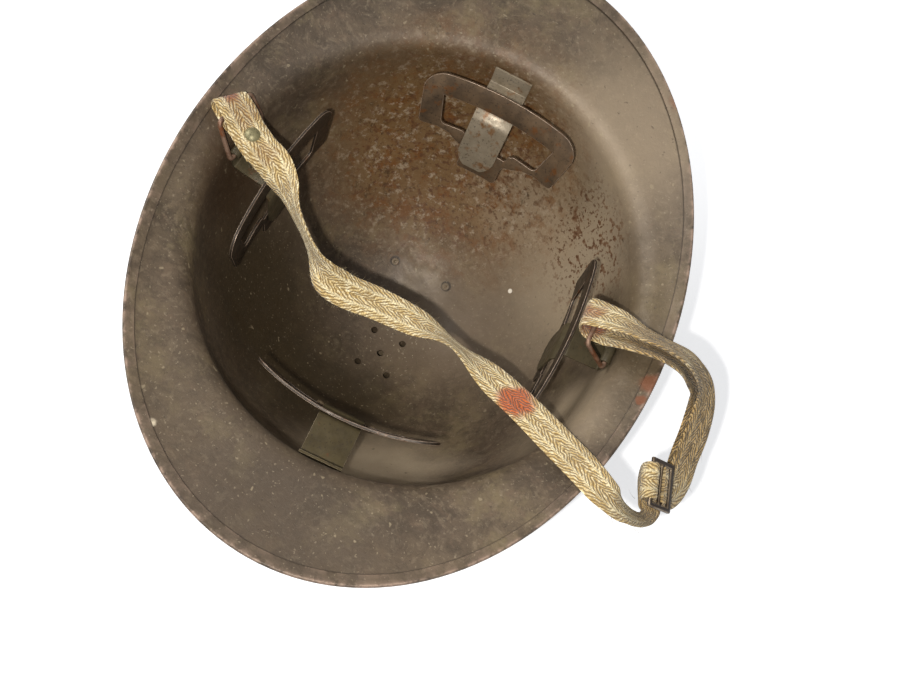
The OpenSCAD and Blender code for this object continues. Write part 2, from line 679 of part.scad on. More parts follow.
// Strap rivet: domed head on the top layer, shank, and a washer under the lower layer
rivet_row = 3;
module at_rivet() {
  n = row_up(left_rows, rivet_row);
  translate(row_pt(left_rows, rivet_row))
    rotate([0, acos(n[2]), atan2(n[1], n[0])])
      children();
}
stack = left_rows[rivet_row][5] + strap_t / 2 + seat_gap;
module strap_rivet() {
  head_h = 1.6;
  cap_r = (pow(strap_rivet_d / 2, 2) + pow(head_h, 2)) / (2 * head_h);
  color("#8c8358")
    at_rivet() {
      translate([0, 0, -stack - 1.6])
        cylinder(d = strap_shank_d, h = 2 * stack + 1.8);
      intersection() {
        translate([0, 0, stack + head_h - cap_r])
          sphere(r = cap_r);
        translate([0, 0, stack])
          cylinder(d = strap_rivet_d, h = head_h);
      }
    }
}
module strap_washer() {
  color("#8c8358")
    at_rivet()
      translate([0, 0, -stack - 1])
        difference() {
          cylinder(d = strap_rivet_d - 0.6, h = 0.9);
          translate([0, 0, -1])
            cylinder(d = strap_shank_d + seat_gap, h = 3);
        }
}

// Slider: a flat ladder buckle with two windows
module slider() {
  window = slider_pitch - slider_bar;
  color("#3c322d")
    translate(slider_at)
      rotate([0, slider_dip, slider_turn])
        difference() {
          cube([slider_l, slider_w, slider_t], center = true);
          for (side = [-1, 1])
            translate([side * slider_pitch / 2, 0, 0])
              cube([window, slider_w - 2 * slider_bar, 3 * slider_t], center = true);
        }
}

shell();
comb();
comb_rivets();
front_bracket();
back_bracket();
left_bracket();
right_bracket();
front_plate();
back_plate();
left_plate();
right_plate();
left_bail();
right_bail();
chin_strap();
strap_rivet();
strap_washer();
slider();
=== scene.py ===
# %% [markdown]
# # An old steel helmet, lying on its crest
#
# The object is a pressed steel bowl with a flared brim, turned upside down so that we look into it.
# Four clips for a lost liner stand inside, two wire bails hang in the side clips, and a webbing chin strap
# runs from one bail to the other and hangs over the brim.
# The CAD model gives every piece its place and its size.
# This file gives the pieces their finish, and rebuilds those that a coarse solid can't show well.

# %% Load the frame
import json
import math
import random

import bpy
import numpy as np
from mathutils import Matrix, Vector


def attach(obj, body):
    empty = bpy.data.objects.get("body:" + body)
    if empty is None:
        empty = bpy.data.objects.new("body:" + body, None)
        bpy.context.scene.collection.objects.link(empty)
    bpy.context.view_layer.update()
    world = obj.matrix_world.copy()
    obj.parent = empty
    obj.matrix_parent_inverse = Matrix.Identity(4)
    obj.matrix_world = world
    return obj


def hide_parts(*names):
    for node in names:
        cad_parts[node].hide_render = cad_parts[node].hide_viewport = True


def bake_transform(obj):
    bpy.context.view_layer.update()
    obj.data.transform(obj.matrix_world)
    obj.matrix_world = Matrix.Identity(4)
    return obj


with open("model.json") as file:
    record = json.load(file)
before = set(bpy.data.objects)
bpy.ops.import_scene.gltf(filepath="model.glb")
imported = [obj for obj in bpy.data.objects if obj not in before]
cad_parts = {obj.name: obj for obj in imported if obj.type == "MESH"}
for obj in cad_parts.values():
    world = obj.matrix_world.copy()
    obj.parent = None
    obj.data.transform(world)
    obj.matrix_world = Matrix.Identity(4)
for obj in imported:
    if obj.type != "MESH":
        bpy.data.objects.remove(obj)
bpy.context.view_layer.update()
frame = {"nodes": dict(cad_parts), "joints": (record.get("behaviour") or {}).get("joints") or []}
scene = bpy.context.scene
MM = 0.001

# %% [markdown]
# ## Camera
# The photograph is taken from in front of the open bowl, a little off its axis, by a phone held close by.
# A camera fitted to the hem, the rivets and the vents puts every piece on its own pixel, so that the render
# and the photograph can be compared region by region.

# %% Camera
TURN_X, TURN_Y, TURN_Z = -0.3506, 0.0234, -0.4654
BOWL_FROM_LENS = (-33.9151, -0.5322, -569.0475)
turn = Matrix.Rotation(TURN_Z, 3, "Z") @ Matrix.Rotation(TURN_Y, 3, "Y") @ Matrix.Rotation(TURN_X, 3, "X")
camera_place = -(turn.transposed() @ Vector(BOWL_FROM_LENS)) * MM
lens = bpy.data.cameras.new("camera")
lens.sensor_width = 36
lens.lens = 41.13
lens.clip_start = 0.01
camera = bpy.data.objects.new("camera", lens)
camera.matrix_world = Matrix.Translation(camera_place) @ turn.transposed().to_4x4()
scene.collection.objects.link(camera)
scene.camera = camera
camera_right, camera_up, camera_back = (Vector(turn[i]) for i in range(3))
print("camera at", [round(v, 4) for v in camera_place])

# %% [markdown]
# ## Light
# The photograph has one hard lamp beside the lens and a bright room around it.
# A small disc beside the camera draws the thin dark shadow along the strap and behind the clips, a wide pale
# panel from the upper left gives the soft room light, and the world fills the rest at a plain level.

# %% Light
scene.view_settings.view_transform = "Standard"


def disc_lamp(name, place, target, size, watts, tint):
    data = bpy.data.lights.new(name, "AREA")
    data.shape = "DISK"
    data.size = size
    data.energy = watts
    data.color = tint
    lamp = bpy.data.objects.new(name, data)
    lamp.location = place
    lamp.rotation_euler = (Vector(target) - Vector(place)).to_track_quat("-Z", "Y").to_euler()
    scene.collection.objects.link(lamp)


near_lens = camera_place - camera_right * 0.027 - camera_up * 0.018
disc_lamp("lamp_beside_lens", near_lens, (0, 0, 0.08), 0.012, 1.9, (1, 0.96, 0.9))
room_place = camera_place - camera_right * 0.55 + camera_up * 0.6 + camera_back * 0.05
disc_lamp("room_panel", room_place, (0, 0, 0.1), 0.6, 5.0, (1, 0.98, 0.95))
print("lamp beside the lens at", [round(v, 3) for v in near_lens])

# %% [markdown]
# ## Colours and nodes
# Colours are written as the hex values of a paint chart, and one function turns them to the linear values
# that the renderer works in. One more function adds a node, sets its options, joins its inputs and hands
# back one of its outputs. All materials are built with it.

# %% Colours and nodes


def colour(hex_value):
    parts = [int(hex_value[i:i + 2], 16) / 255 for i in (1, 3, 5)]
    return tuple(p / 12.92 if p <= 0.04045 else ((p + 0.055) / 1.055) ** 2.4 for p in parts) + (1.0,)


def add_node(tree, kind, links=None, out=0, **settings):
    made = tree.nodes.new("ShaderNode" + kind)
    for name, value in settings.items():
        setattr(made, name, value)
    for key, value in (links or {}).items():
        if isinstance(value, bpy.types.NodeSocket):
            tree.links.new(value, made.inputs[key])
        else:
            made.inputs[key].default_value = value
    return made.outputs[out]


def new_material(name, **fixed):
    made = bpy.data.materials.new(name)
    made.use_nodes = True
    shader = made.node_tree.nodes["Principled BSDF"]
    for key, value in fixed.items():
        shader.inputs[key.replace("_", " ")].default_value = value
    return made, made.node_tree, shader


# %% [markdown]
# Wear on old metal is a stack of masks: where the rust is, where the paint is rubbed, where dust lies.
# Each mask is a number from 0 to 1. These helpers make clouds and stains, join two masks, and spread one
# colour over another where a mask says. A socket knows its own tree, so they need only their sockets.
# The scales are worked out from a size in millimetres, so that a speck is as big as a real one.

# %% Masks


def noise(place, size_mm, low, high, detail=4, rough=0.6):
    """Clouds of about size_mm, turned to a mask that is 0 below low and 1 above high."""
    settings = {"Vector": place, "Scale": 1000 / size_mm, "Detail": detail, "Roughness": rough}
    clouds = add_node(place.id_data, "TexNoise", settings, "Fac")
    return add_node(place.id_data, "MapRange", {"Value": clouds, "From Min": low, "From Max": high})


def stain(place, centre_mm, reach_mm, core):
    """A mask that is 1 round a point, as far as core, a share of its reach, and fades to 0 at its reach."""
    centre = [c * MM for c in centre_mm]
    far = add_node(place.id_data, "VectorMath", {0: place, 1: centre}, "Value", operation="DISTANCE")
    fade = {"Value": far, "From Min": reach_mm * MM, "From Max": core * reach_mm * MM}
    return add_node(place.id_data, "MapRange", fade, interpolation_type="SMOOTHSTEP")


def both(first, second):
    return add_node(first.id_data, "Math", {0: first, 1: second}, operation="MULTIPLY", use_clamp=True)


def either(first, second):
    return add_node(first.id_data, "Math", {0: first, 1: second}, operation="MAXIMUM", use_clamp=True)


def scaled(value, factor, plus):
    return add_node(value.id_data, "Math", {0: value, 1: factor, 2: plus}, operation="MULTIPLY_ADD")


def spread(mask, share, base, tint):
    """Lay a colour over the base. Where the mask is 1, it covers that share of the base."""
    cover = mask if share == 1 else both(mask, share)
    top = colour(tint) if isinstance(tint, str) else tint
    return add_node(mask.id_data, "Mix", {0: cover, 6: base, 7: top}, 2, data_type="RGBA")


def ragged_place(tree, size_mm, push_mm):
    """Object coordinates, and the same pushed about by noise, so that stains get ragged edges."""
    place = add_node(tree, "TexCoord", out="Object")
    push = add_node(tree, "TexNoise", {"Vector": place, "Scale": 1000 / size_mm, "Detail": 3.0}, "Color")
    centred = add_node(tree, "VectorMath", {0: push, 1: (0.5, 0.5, 0.5)}, operation="SUBTRACT")
    moved = add_node(tree, "VectorMath", {0: centred, "Scale": 2 * push_mm * MM}, operation="SCALE")
    return place, add_node(tree, "VectorMath", {0: place, 1: moved})


def bumped(shader, height, depth_mm, strength):
    tree = height.id_data
    bump = add_node(tree, "Bump", {"Height": height, "Distance": depth_mm * MM, "Strength": strength})
    tree.links.new(bump, shader.inputs["Normal"])


# %% [markdown]
# ## Worn painted steel, for the bowl and the comb
# The real finish is a matt grey paint that has browned with age: patina rather than bright rust.
# It is darkest low in the front left of the bowl, and palest on the right wall and the front wall, where
# pale pools are painted light. Rust freckles lie round the back clip. The hem is rubbed to a warm pinkish
# brown along its edge, with three spots of brown rust, and a few chips down to the cream primer.
# Metallic is low, because paint and oxide cover the steel, and the roughness wanders with the dirt.
# Patches are tables: centre and reach in mm, the share that covers, and the colour.

# %% Worn painted steel
# Darker patches, darkest low in the front left of the bowl
DARK_PATCHES = (
    ((-60, -30, 60), 72, 0.9, "#2f2513"), ((-10, -58, 42), 60, 0.85, "#302819"),
    ((-92, 0, 112), 42, 0.7, "#43301d"), ((-40, -110, 140), 70, 0.4, "#4c4134"),
    ((5, -136, 148), 62, 0.5, "#453a2e"), ((-50, 70, 110), 40, 0.5, "#4a3722"))
# In the next table the third is a darker patch on the brim beside the right bail. The last two are painted
# light: pale pools on the front wall, which lies in shade, and on the right wall.
PALE_PAINT_AND_PAINTED_LIGHT = (
    ((62, 46, 80), 74, 0.85, "#96866f"), ((56, 92, 140), 62, 0.7, "#9a8972"),
    ((104, 14, 138), 50, 0.5, "#64553b"), ((24, 10, 20), 56, 0.65, "#7b6a55"),
    ((22, -76, 76), 50, 0.85, "#b0a088"), ((84, -30, 110), 42, 0.85, "#a3927a"))
RIVET_ENDS = ((15.5, 33.5, 23.7), (-15.5, 33.5, 23.7), (14.5, -61, 39.5), (-14.5, -61, 39.5))
CHIPS = (((-95.4, -4.9, 134), 1.9), ((46.8, 39.8, 42.4), 1.5), ((-99, -60, 136), 1.1))
HEM_RUST = (((76.6, 119.1, 143), 9), ((111.6, -11.9, 139), 6), ((110.8, -20.7, 139), 3))


def worn_painted_steel():
    made, tree, shader = new_material("worn_painted_steel", Metallic=0.12)
    place, ragged = ragged_place(tree, 22, 9)
    near = ragged_place(tree, 5, 2)[1]

    def clouds(base, within, layers):
        """Each layer: where, size in mm, low, high, detail, roughness, share and colour."""
        for where, size, low, high, detail, rough, share, tint in layers:
            mask = noise(where, size, low, high, detail, rough)
            base = spread(both(within, mask) if within else mask, share, base, tint)
        return base

    def patches(base, where, core, spots):
        for centre, reach, share, tint in spots:
            base = spread(stain(where, centre, reach, core), share, base, tint)
        return base

    # The paint: brown grey, with darker grease and paler khaki where it is thickest
    base = spread(noise(ragged, 60, 0.38, 0.62, 8, 0.65), 1, colour("#54473a"), "#635543")
    base = clouds(base, None, (
        (ragged, 24, 0.47, 0.60, 10, 0.72, 0.8, "#3f3427"), (near, 30, 0.52, 0.63, 10, 0.75, 0.5, "#776a4e"),
        (near, 7, 0.53, 0.66, 10, 0.75, 0.4, "#6e5a48"), (near, 4.6, 0.50, 0.62, 8, 0.7, 0.4, "#3b3126"),
        (ragged, 3.2, 0.52, 0.63, 8, 0.7, 0.28, "#8a7b66")))
    base = patches(base, ragged, 0.25, DARK_PATCHES)
    # Paler paint, with painted light on the front and right walls
    base = patches(base, ragged, 0.15, PALE_PAINT_AND_PAINTED_LIGHT)
    # Rust round the back clip: a brown stain, broken by deep spots and by pale bare metal
    zone = stain(ragged, (-10, 74, 80), 84, 0.4)
    base = spread(zone, 0.65, base, "#7d5c33")
    base = patches(base, ragged, 0.2, [((27, 67, 75), 40, 0.7, "#97866f")])
    base = clouds(base, zone, (
        (near, 9, 0.50, 0.60, 10, 0.75, 0.85, "#6c4219"), (near, 5, 0.55, 0.63, 10, 0.75, 0.8, "#38260f"),
        (place, 4, 0.54, 0.62, 8, 0.7, 0.7, "#a69680")))
    speckled = either(stain(ragged, (70, 58, 92), 42, 0.4), both(zone, 0.7))
    base = clouds(base, speckled, (
        (place, 4.2, 0.56, 0.61, 3, 0.6, 0.8, "#5e3d24"), (place, 2.1, 0.57, 0.62, 2, 0.6, 0.8, "#4f321d")))
    # Painted shade: a dark ring round each rivet end. Then fine grains of grit, pits and pinholes all over
    base = patches(base, place, 0.75, [(centre, 3.2, 0.75, "#2a2118") for centre in RIVET_ENDS])
    grit_zone = either(stain(ragged, (8, -14, 16), 34, 0.3), 0.3)
    base = clouds(base, grit_zone, [(place, 1.3, 0.68, 0.73, 1, 0.6, 0.9, "#a99b83")])
    pits = noise(place, 2.6, 0.66, 0.72, 3)
    base = spread(pits, 0.5, base, "#33281c")
    base = clouds(base, None, [(place, 3.6, 0.73, 0.76, 1, 0.6, 0.55, "#94866d")])
    base = patches(base, place, 0.6, [(centre, reach, 1, "#e6dccb") for centre, reach in CHIPS])
    # Edges: the hem is rubbed warm, its step is darkened as painted shade, and a few spots have rusted or
    # chipped
    edge = add_node(tree, "Attribute", out="Fac", attribute_name="edge_wear")
    step_shade_mask = add_node(tree, "Attribute", out="Fac", attribute_name="hem_step_painted_shade")
    base = spread(step_shade_mask, 0.8, base, "#2c2319")
    base = clouds(base, edge, (
        (ragged, 9, 0.45, 0.6, 6, 0.6, 0.7, "#3a2f26"), (near, 7, 0.44, 0.58, 6, 0.6, 0.75, "#a18978")))
    base = patches(base, near, 0.5, [(centre, reach, 0.7, "#7c482c") for centre, reach in HEM_RUST])
    base = patches(base, near, 0.6, [((-61.6, -121.6, 141), 3.6, 1, "#cdbfa6")])
    tree.links.new(base, shader.inputs["Base Color"])
    # Gloss: uneven paint, a little smoother where the oil is
    uneven = {"Value": noise(ragged, 12, 0.3, 0.7, 6), "To Min": 0.42, "To Max": 0.64}
    rough = add_node(tree, "MapRange", uneven)
    oily = stain(ragged, (-8, -30, 30), 90, 0.3)
    rough = scaled(oily, -0.1, rough)
    tree.links.new(rough, shader.inputs["Roughness"])
    # Relief: grain and low waves, less the pits
    grain, waves = noise(place, 1.4, 0.3, 0.75, 6), noise(near, 14, 0.3, 0.7, 6)
    height = add_node(tree, "Math", {0: grain, 1: waves}, operation="ADD")
    height = scaled(pits, -0.8, height)
    bumped(shader, height, 0.09, 0.7)
    print("nodes in the worn paint", len(tree.nodes))
    return made


painted_steel = worn_painted_steel()

# %% [markdown]
# The inside of the comb is painted brown black: painted shade for the dark hollow under the crest.
# It shows only as darkness through the vents.

# %% Painted shade inside the comb
# Painted shade: a brown black, rough finish for the inside faces of the comb
comb_inside_shade, tree, shader = new_material("comb_inside_painted_shade", Roughness=0.85)
place = add_node(tree, "TexCoord", out="Object")
painted_darkness = spread(noise(place, 6, 0.4, 0.7), 1, colour("#14100c"), "#221a13")
tree.links.new(painted_darkness, shader.inputs["Base Color"])

# %% [markdown]
# ## Shell: rings of a press form
# The real bowl is one disc of manganese steel, drawn in a press. Its section changes from the sides to the
# ends: the brim dips at the sides and rises over the face and the neck.
# A lathe can't make that, so we lay down one circle and extrude it ring after ring, from the crown up to
# the hem, round the edge and back down the outside. Each ring is then pressed to its place by the formulas
# of the CAD model. As the skin goes out and comes back, the sheet has a real thickness and a real hem.

# %% Form of the shell
SHELL_L, SHELL_W, BOWL_A, BOWL_B, BOWL_Y = 300, 228, 97, 103, -1
SHEET, HEM_W, HEM_T, END_RISE, BRIM_DIP = 1.0, 5.0, 0.9, 9.5, 1.2
BEND_RISE, BEND_R, BEND_OUT = 6.5, 7, 9
CROWN_IN, MOUTH_Z, RIM_Z, BEND_Z = 15, 140, 139, 129
DEPTH = MOUTH_Z - CROWN_IN
DOME_N, BEND_N, BRIM_N = 9, 4, 3
BRIM_U = DOME_N + BEND_N
RIM_U = BRIM_U + BRIM_N


def bezier(a, b, c, t):
    return (1 - t) ** 2 * a + 2 * t * (1 - t) * b + t * t * c


def shell_point(t, u):
    """Inner surface in mm at azimuth t (radians) and station u, from 0 at the crown to RIM_U at the rim."""
    cos, sin = math.cos(t), math.sin(t)
    bend_z = BEND_Z + BEND_RISE * sin * sin
    top = (MOUTH_Z - bend_z + BEND_R) / DEPTH

    def dome(cosine):
        sine = math.sqrt(max(0.0, 1 - cosine * cosine))
        return np.array((BOWL_A * sine * cos, BOWL_Y + BOWL_B * sine * sin, MOUTH_Z - DEPTH * cosine))
    if u < DOME_N:
        return dome(math.cos(u / DOME_N * math.acos(top)))
    bend = np.array((BOWL_A * cos, BOWL_Y + BOWL_B * sin, bend_z))
    rim = np.array((SHELL_W / 2 * cos, SHELL_L / 2 * sin, RIM_Z + END_RISE * sin * sin))
    start = bend + BEND_OUT * (rim - bend) / np.linalg.norm(rim - bend)
    if u < BRIM_U:
        return bezier(dome(top), bend, start, (u - DOME_N) / BEND_N)
    middle = (start + rim) / 2 - np.array((0, 0, BRIM_DIP))
    return bezier(start, middle, rim, (u - DOME_N - BEND_N) / BRIM_N)


def shell_normal(t, u):
    w, e = max(u, 0.1), 0.02
    around = shell_point(t + 0.01, w) - shell_point(t - 0.01, w)
    along = shell_point(t, w + e) - shell_point(t, w - e)
    normal = np.cross(around, along)
    return normal / np.linalg.norm(normal)


def behind(t, u, depth):
    """A point depth mm behind the inner surface: towards the outside of the helmet."""
    return shell_point(t, u) + depth * shell_normal(t, u)


print("rim at the side", shell_point(0, RIM_U), "and at the back", shell_point(math.pi / 2, RIM_U))

# %% Profile of one meridian
SIDES, DOME_RINGS, BEND_RINGS, BRIM_RINGS, HEM_RINGS = 160, 22, 9, 6, 6
CROWN_U = 0.25  # the innermost ring, which one face closes
# The folded hem stands on the inner surface: run in mm from its step, height, edge wear and painted shade in
# the step
HEM_ROWS = ((0.05, 0.25, 0.0, 1.0), (0.12, 0.68, 0.1, 0.7), (0.3, 0.86, 0.35, 0.3), (0.8, HEM_T, 0.2, 0.0),
            (2.4, HEM_T, 0.08, 0.0), (HEM_W - 1, HEM_T, 0.3, 0.0), (HEM_W - 0.4, HEM_T, 0.9, 0.0))


def brim_step(t, mm):
    run = np.linalg.norm(shell_point(t, RIM_U) - shell_point(t, BRIM_U))
    return BRIM_N * mm / run


def meridian(t):
    """Points in mm from the crown's inside, over the hem, to its outside, with edge wear and painted shade
    in the hem's step.
    """
    hem_start = RIM_U - brim_step(t, HEM_W)
    inner = [CROWN_U + k * (DOME_N - CROWN_U) / DOME_RINGS for k in range(DOME_RINGS)]
    inner += [DOME_N + k * BEND_N / BEND_RINGS for k in range(BEND_RINGS)]
    inner += [BRIM_U + k * (hem_start - DOME_N - BEND_N) / BRIM_RINGS for k in range(BRIM_RINGS)]
    inner += [hem_start - brim_step(t, 0.7), hem_start]
    points = [(behind(t, u, 0), 0.0, 1.0 if u == inner[-1] else 0.0) for u in inner]
    for run, height, rubbed, shade_at_step in HEM_ROWS:
        points.append((behind(t, hem_start + brim_step(t, run), -height), rubbed, shade_at_step))
    radius, middle = (SHEET + HEM_T) / 2, (SHEET - HEM_T) / 2
    for k in range(HEM_RINGS + 1):
        angle = math.pi * (k / HEM_RINGS - 0.5)
        u = RIM_U + brim_step(t, 0.55 * math.cos(angle)) - brim_step(t, 0.3)
        points.append((behind(t, u, middle + radius * math.sin(angle)), 1.0, 0.0))
    outer = [RIM_U - brim_step(t, 1.2)] + list(reversed(inner[:-1]))
    points += [(behind(t, u, SHEET), 0.6 if k == 0 else 0.0, 0.0) for k, u in enumerate(outer)]
    return points


stations = len(meridian(0.0))
print("stations on a meridian:", stations)

# %% [markdown]
# A few moves come back for every piece: pick it alone, select all its mesh for editing, apply its
# modifiers, shade it smooth up to an angle, and give it its materials.

# %% Moves that come back


def deselect():
    for thing in bpy.context.selected_objects:
        thing.select_set(False)


def pick(thing):
    deselect()
    thing.select_set(True)
    bpy.context.view_layer.objects.active = thing


def edit_all():
    bpy.ops.object.mode_set(mode="EDIT")
    bpy.ops.mesh.select_all(action="SELECT")


def leave_edit():
    bpy.ops.object.mode_set(mode="OBJECT")


def shade(thing, degrees):
    pick(thing)
    bpy.ops.object.shade_smooth_by_angle(angle=math.radians(degrees))


def apply_modifiers(thing):
    pick(thing)
    for modifier in list(thing.modifiers):
        bpy.ops.object.modifier_apply(modifier=modifier.name)


def coat(thing, *materials):
    """Give a piece its materials, and all its faces the first of them."""
    thing.data.materials.clear()
    for material in materials:
        thing.data.materials.append(material)
    for polygon in thing.data.polygons:
        polygon.material_index = 0


# %% [markdown]
# The ring of edges is extruded once for every station. Extruding keeps each new vertex at its own azimuth,
# so afterwards its ring number and its angle say where the press puts it.

# %% Extrude and press the shell
deselect()
bpy.ops.mesh.primitive_circle_add(vertices=SIDES, radius=0.01)
shell = bpy.context.object
shell.name = "pressed_shell"
edit_all()
for station in range(stations - 1):
    bpy.ops.mesh.extrude_region_move(TRANSFORM_OT_translate={"value": (0, 0, 0.001)})
leave_edit()
order = sorted(range(len(shell.data.vertices)), key=lambda i: round(shell.data.vertices[i].co.z, 5))
wear, hem_step_shades = np.zeros(len(order)), np.zeros(len(order))
rings = [order[k * SIDES:(k + 1) * SIDES] for k in range(stations)]
columns = [meridian(2 * math.pi * step / SIDES) for step in range(SIDES)]
for k, ring in enumerate(rings):
    for i in ring:
        co = shell.data.vertices[i].co
        step = round(math.atan2(co.y, co.x) / (2 * math.pi) * SIDES) % SIDES
        point, wear[i], hem_step_shades[i] = columns[step][k]
        shell.data.vertices[i].co = Vector(point) * MM
print("shell rings", len(rings), "of", SIDES)

# %% Close the crown and cut the vents
bpy.ops.object.mode_set(mode="EDIT")
bpy.ops.mesh.select_all(action="DESELECT")
leave_edit()
for i in rings[0] + rings[-1]:
    shell.data.vertices[i].select = True
bpy.ops.object.mode_set(mode="EDIT")
bpy.ops.mesh.edge_face_add()
bpy.ops.mesh.select_all(action="SELECT")
bpy.ops.mesh.normals_make_consistent(inside=False)
leave_edit()
# Edge wear, and the painted shade along the hem's step, go to the shell as attributes
for name, values in (("edge_wear", wear), ("hem_step_painted_shade", hem_step_shades)):
    attribute = shell.data.attributes.new(name, "FLOAT", "POINT")
    attribute.data.foreach_set("value", values.astype(np.float32))

VENT_PAIR, VENT_ROW, VENT_FORWARD, VENT_D = 16.8, 10.4, 4.5, 3.6
vents = [(side * VENT_PAIR / 2, row * VENT_ROW - VENT_FORWARD) for row in (-2, 0, 2) for side in (-1, 1)]
vents += [(0.0, row * VENT_ROW - VENT_FORWARD) for row in (-1, 1)]
deselect()
drills = []
for x, y in vents:
    bpy.ops.mesh.primitive_cylinder_add(vertices=28, radius=VENT_D / 2 * MM, depth=0.02,
                                        location=(x * MM, y * MM, 0.016))
    drills.append(bpy.context.object)
pick(drills[0])
for drill in drills:
    drill.select_set(True)
bpy.ops.object.join()
drill = bpy.context.object
cut = shell.modifiers.new("vents", "BOOLEAN")
cut.operation = "DIFFERENCE"
cut.object = drill
cut.solver = "EXACT"
apply_modifiers(shell)
bpy.data.objects.remove(drill)
shade(shell, 35)
coat(shell, painted_steel)
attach(shell, "helmet")
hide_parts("shell")
print("shell faces", len(shell.data.polygons))

# %% [markdown]
# ## Comb: a grid pressed over the crown
# The comb is a second pressing, riveted over the vents outside: a long crest with a flat flange.
# A grid of faces is enough: it is laid flat and pressed to the crest's section, station by station, and a
# Solidify modifier gives it the sheet's thickness.

# %% Comb
COMB_H, COMB_FRONT, COMB_BACK, CREST_W, FLANGE, COMB_T, SEAT = 14, 86, 64, 24, 7.5, 0.9, 0.3
# Share of the length that the crest reaches, and of its width at the tips and what the middle adds
CREST_END, CREST_TIP, CREST_GAIN = 0.93, 0.32, 0.68
CREST = [(1.16, 0), (1.02, 0.05), (0.94, 0.3), (0.8, 0.58), (0.56, 0.83), (0.28, 0.96), (0, 1)]


def crown_z(x, y):
    ratio = (x / (BOWL_A + SHEET)) ** 2 + ((y - BOWL_Y) / (BOWL_B + SHEET)) ** 2
    return MOUTH_Z - (DEPTH + SHEET) * math.sqrt(1 - ratio)


def swell(s, power, root):
    """A share that is 1 in the middle of the comb and sinks to 0 where s is -1 or 1."""
    return max(0.0, 1 - abs(s) ** power) ** root


def comb_point(s, w):
    """s runs from -1 at the front to 1 at the back, w from -1 to 1 across."""
    y = (COMB_BACK - COMB_FRONT) / 2 + (COMB_BACK + COMB_FRONT) / 2 * s
    half = CREST_W / 2 * (CREST_TIP + CREST_GAIN * swell(s, 2.4, 0.6))
    reach = (CREST_W / 2 + FLANGE) * max(0.02, 1 - abs(s) ** 3.2) ** 0.5
    profile = [(reach, 0.0)] + [(min(reach - 0.4 * (CREST[0][0] - c) - 0.3, half * c), h) for c, h in CREST]
    along = (1 - abs(w)) * (len(profile) - 1)
    i = min(int(along), len(profile) - 2)
    f = along - i
    x = profile[i][0] * (1 - f) + profile[i + 1][0] * f
    lift = profile[i][1] * (1 - f) + profile[i + 1][1] * f
    x *= 1 if w > 0 else -1
    envelope = swell(s / CREST_END, 2.6, 0.62)
    return Vector((x, y, crown_z(x, y) - SEAT - lift * (COMB_H - SEAT - COMB_T) * envelope)) * MM


deselect()
bpy.ops.mesh.primitive_grid_add(x_subdivisions=56, y_subdivisions=90, size=2)
comb = bpy.context.object
comb.name = "pressed_comb"
for vertex in comb.data.vertices:
    vertex.co = comb_point(math.sin(vertex.co.y * math.pi / 2), vertex.co.x)
edit_all()
bpy.ops.mesh.vertices_smooth(factor=0.5, repeat=2)
leave_edit()
wall = comb.modifiers.new("sheet", "SOLIDIFY")
wall.thickness = COMB_T * MM
outside_up = comb.data.polygons[len(comb.data.polygons) // 2].normal.z < 0
wall.offset = 1 if outside_up else -1
# The inner faces take the second material, the painted shade of the comb's inside
wall.material_offset = 1 if outside_up else 0
coat(comb, painted_steel, comb_inside_shade)
apply_modifiers(comb)
shade(comb, 40)
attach(comb, "helmet")
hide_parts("comb")
print("comb faces", len(comb.data.polygons), "lowest", min(v.co.z for v in comb.data.vertices))

# %% [markdown]
# ## Clips: brackets and liner plates
# Each clip is a bent strip with an olive paint, riveted or welded to the bowl, and a thin curved spring
# plate that its tongue holds. Their CAD forms are right, but a real stamping has no knife edges.
# So each one is copied, its loose triangles are merged, flat regions are dissolved to single faces, and a
# small bevel rounds every sharp edge. The bevel gets a material of its own, as wear shows first on edges.

# %% Bracket paint and spring steel


def small_steel(name, paint, second, rust, rust_share, metallic, rough, edge=None, shine=0.5):
    """Thin painted or blackened steel with rust freckles. edge brightens the rubbed arris."""
    made, tree, shader = new_material(name, Metallic=metallic, Specular_IOR_Level=shine)
    place, ragged = ragged_place(tree, 6, 2)
    base = spread(noise(ragged, 8, 0.35, 0.7), 1, colour(paint), second)
    base = spread(noise(ragged, 5, 1 - rust_share, 1.12 - rust_share, 6), 1, base, rust)
    base = spread(noise(place, 1.1, 0.6, 0.68, 2), 0.6, base, "#2c241c")
    if edge:
        base = spread(noise(ragged, 4, 0.36, 0.58), 1, base, edge)
    tree.links.new(base, shader.inputs["Base Color"])
    uneven = {"Value": noise(ragged, 3, 0.3, 0.7), "To Min": rough - 0.1, "To Max": rough + 0.12}
    tree.links.new(add_node(tree, "MapRange", uneven), shader.inputs["Roughness"])
    bumped(shader, noise(place, 0.8, 0.3, 0.75, 4), 0.04, 0.5)
    return made


# Air-dried olive paint on mild steel: matt, thin, rubbed through along the edges
olive_paint = small_steel("olive_painted_strip", "#564d38", "#433b29", "#5f432a", 0.40, 0.2, 0.48)
# A darker, matt copy of the olive paint for the front strip: painted shade
olive_paint_in_shade = small_steel("olive_strip_painted_shade", "#453c27", "#372f1e", "#4c3722", 0.38, 0.0, 0.75, None, 0.2)
pale_strip = small_steel("rubbed_bare_strip", "#938774", "#7d715e", "#7a5a3c", 0.45, 0.3, 0.42)
olive_edge = small_steel("olive_strip_rubbed_edge", "#6b604b", "#544a3a", "#70502f", 0.42, 0.4, 0.45,
                         "#857762")
# Blued spring steel gone brown: dark, a little shiny, its sheared edge bright and pinkish
spring_steel = small_steel("browned_spring_steel", "#6b5742", "#4c3e30", "#6a4526", 0.44, 0.3, 0.46)
# A darker copy of the spring steel for the front and side plates: painted shade, as their faces lie in shade
spring_steel_in_shade = small_steel("spring_steel_painted_shade", "#3e342a", "#2e2720", "#553a24", 0.40, 0.4, 0.45)
spring_edge = small_steel("spring_steel_sheared_edge", "#96806e", "#6e5b4c", "#85593b", 0.42, 0.5, 0.4,
                          "#bba592")

# %% Copy a stamping and round its edges


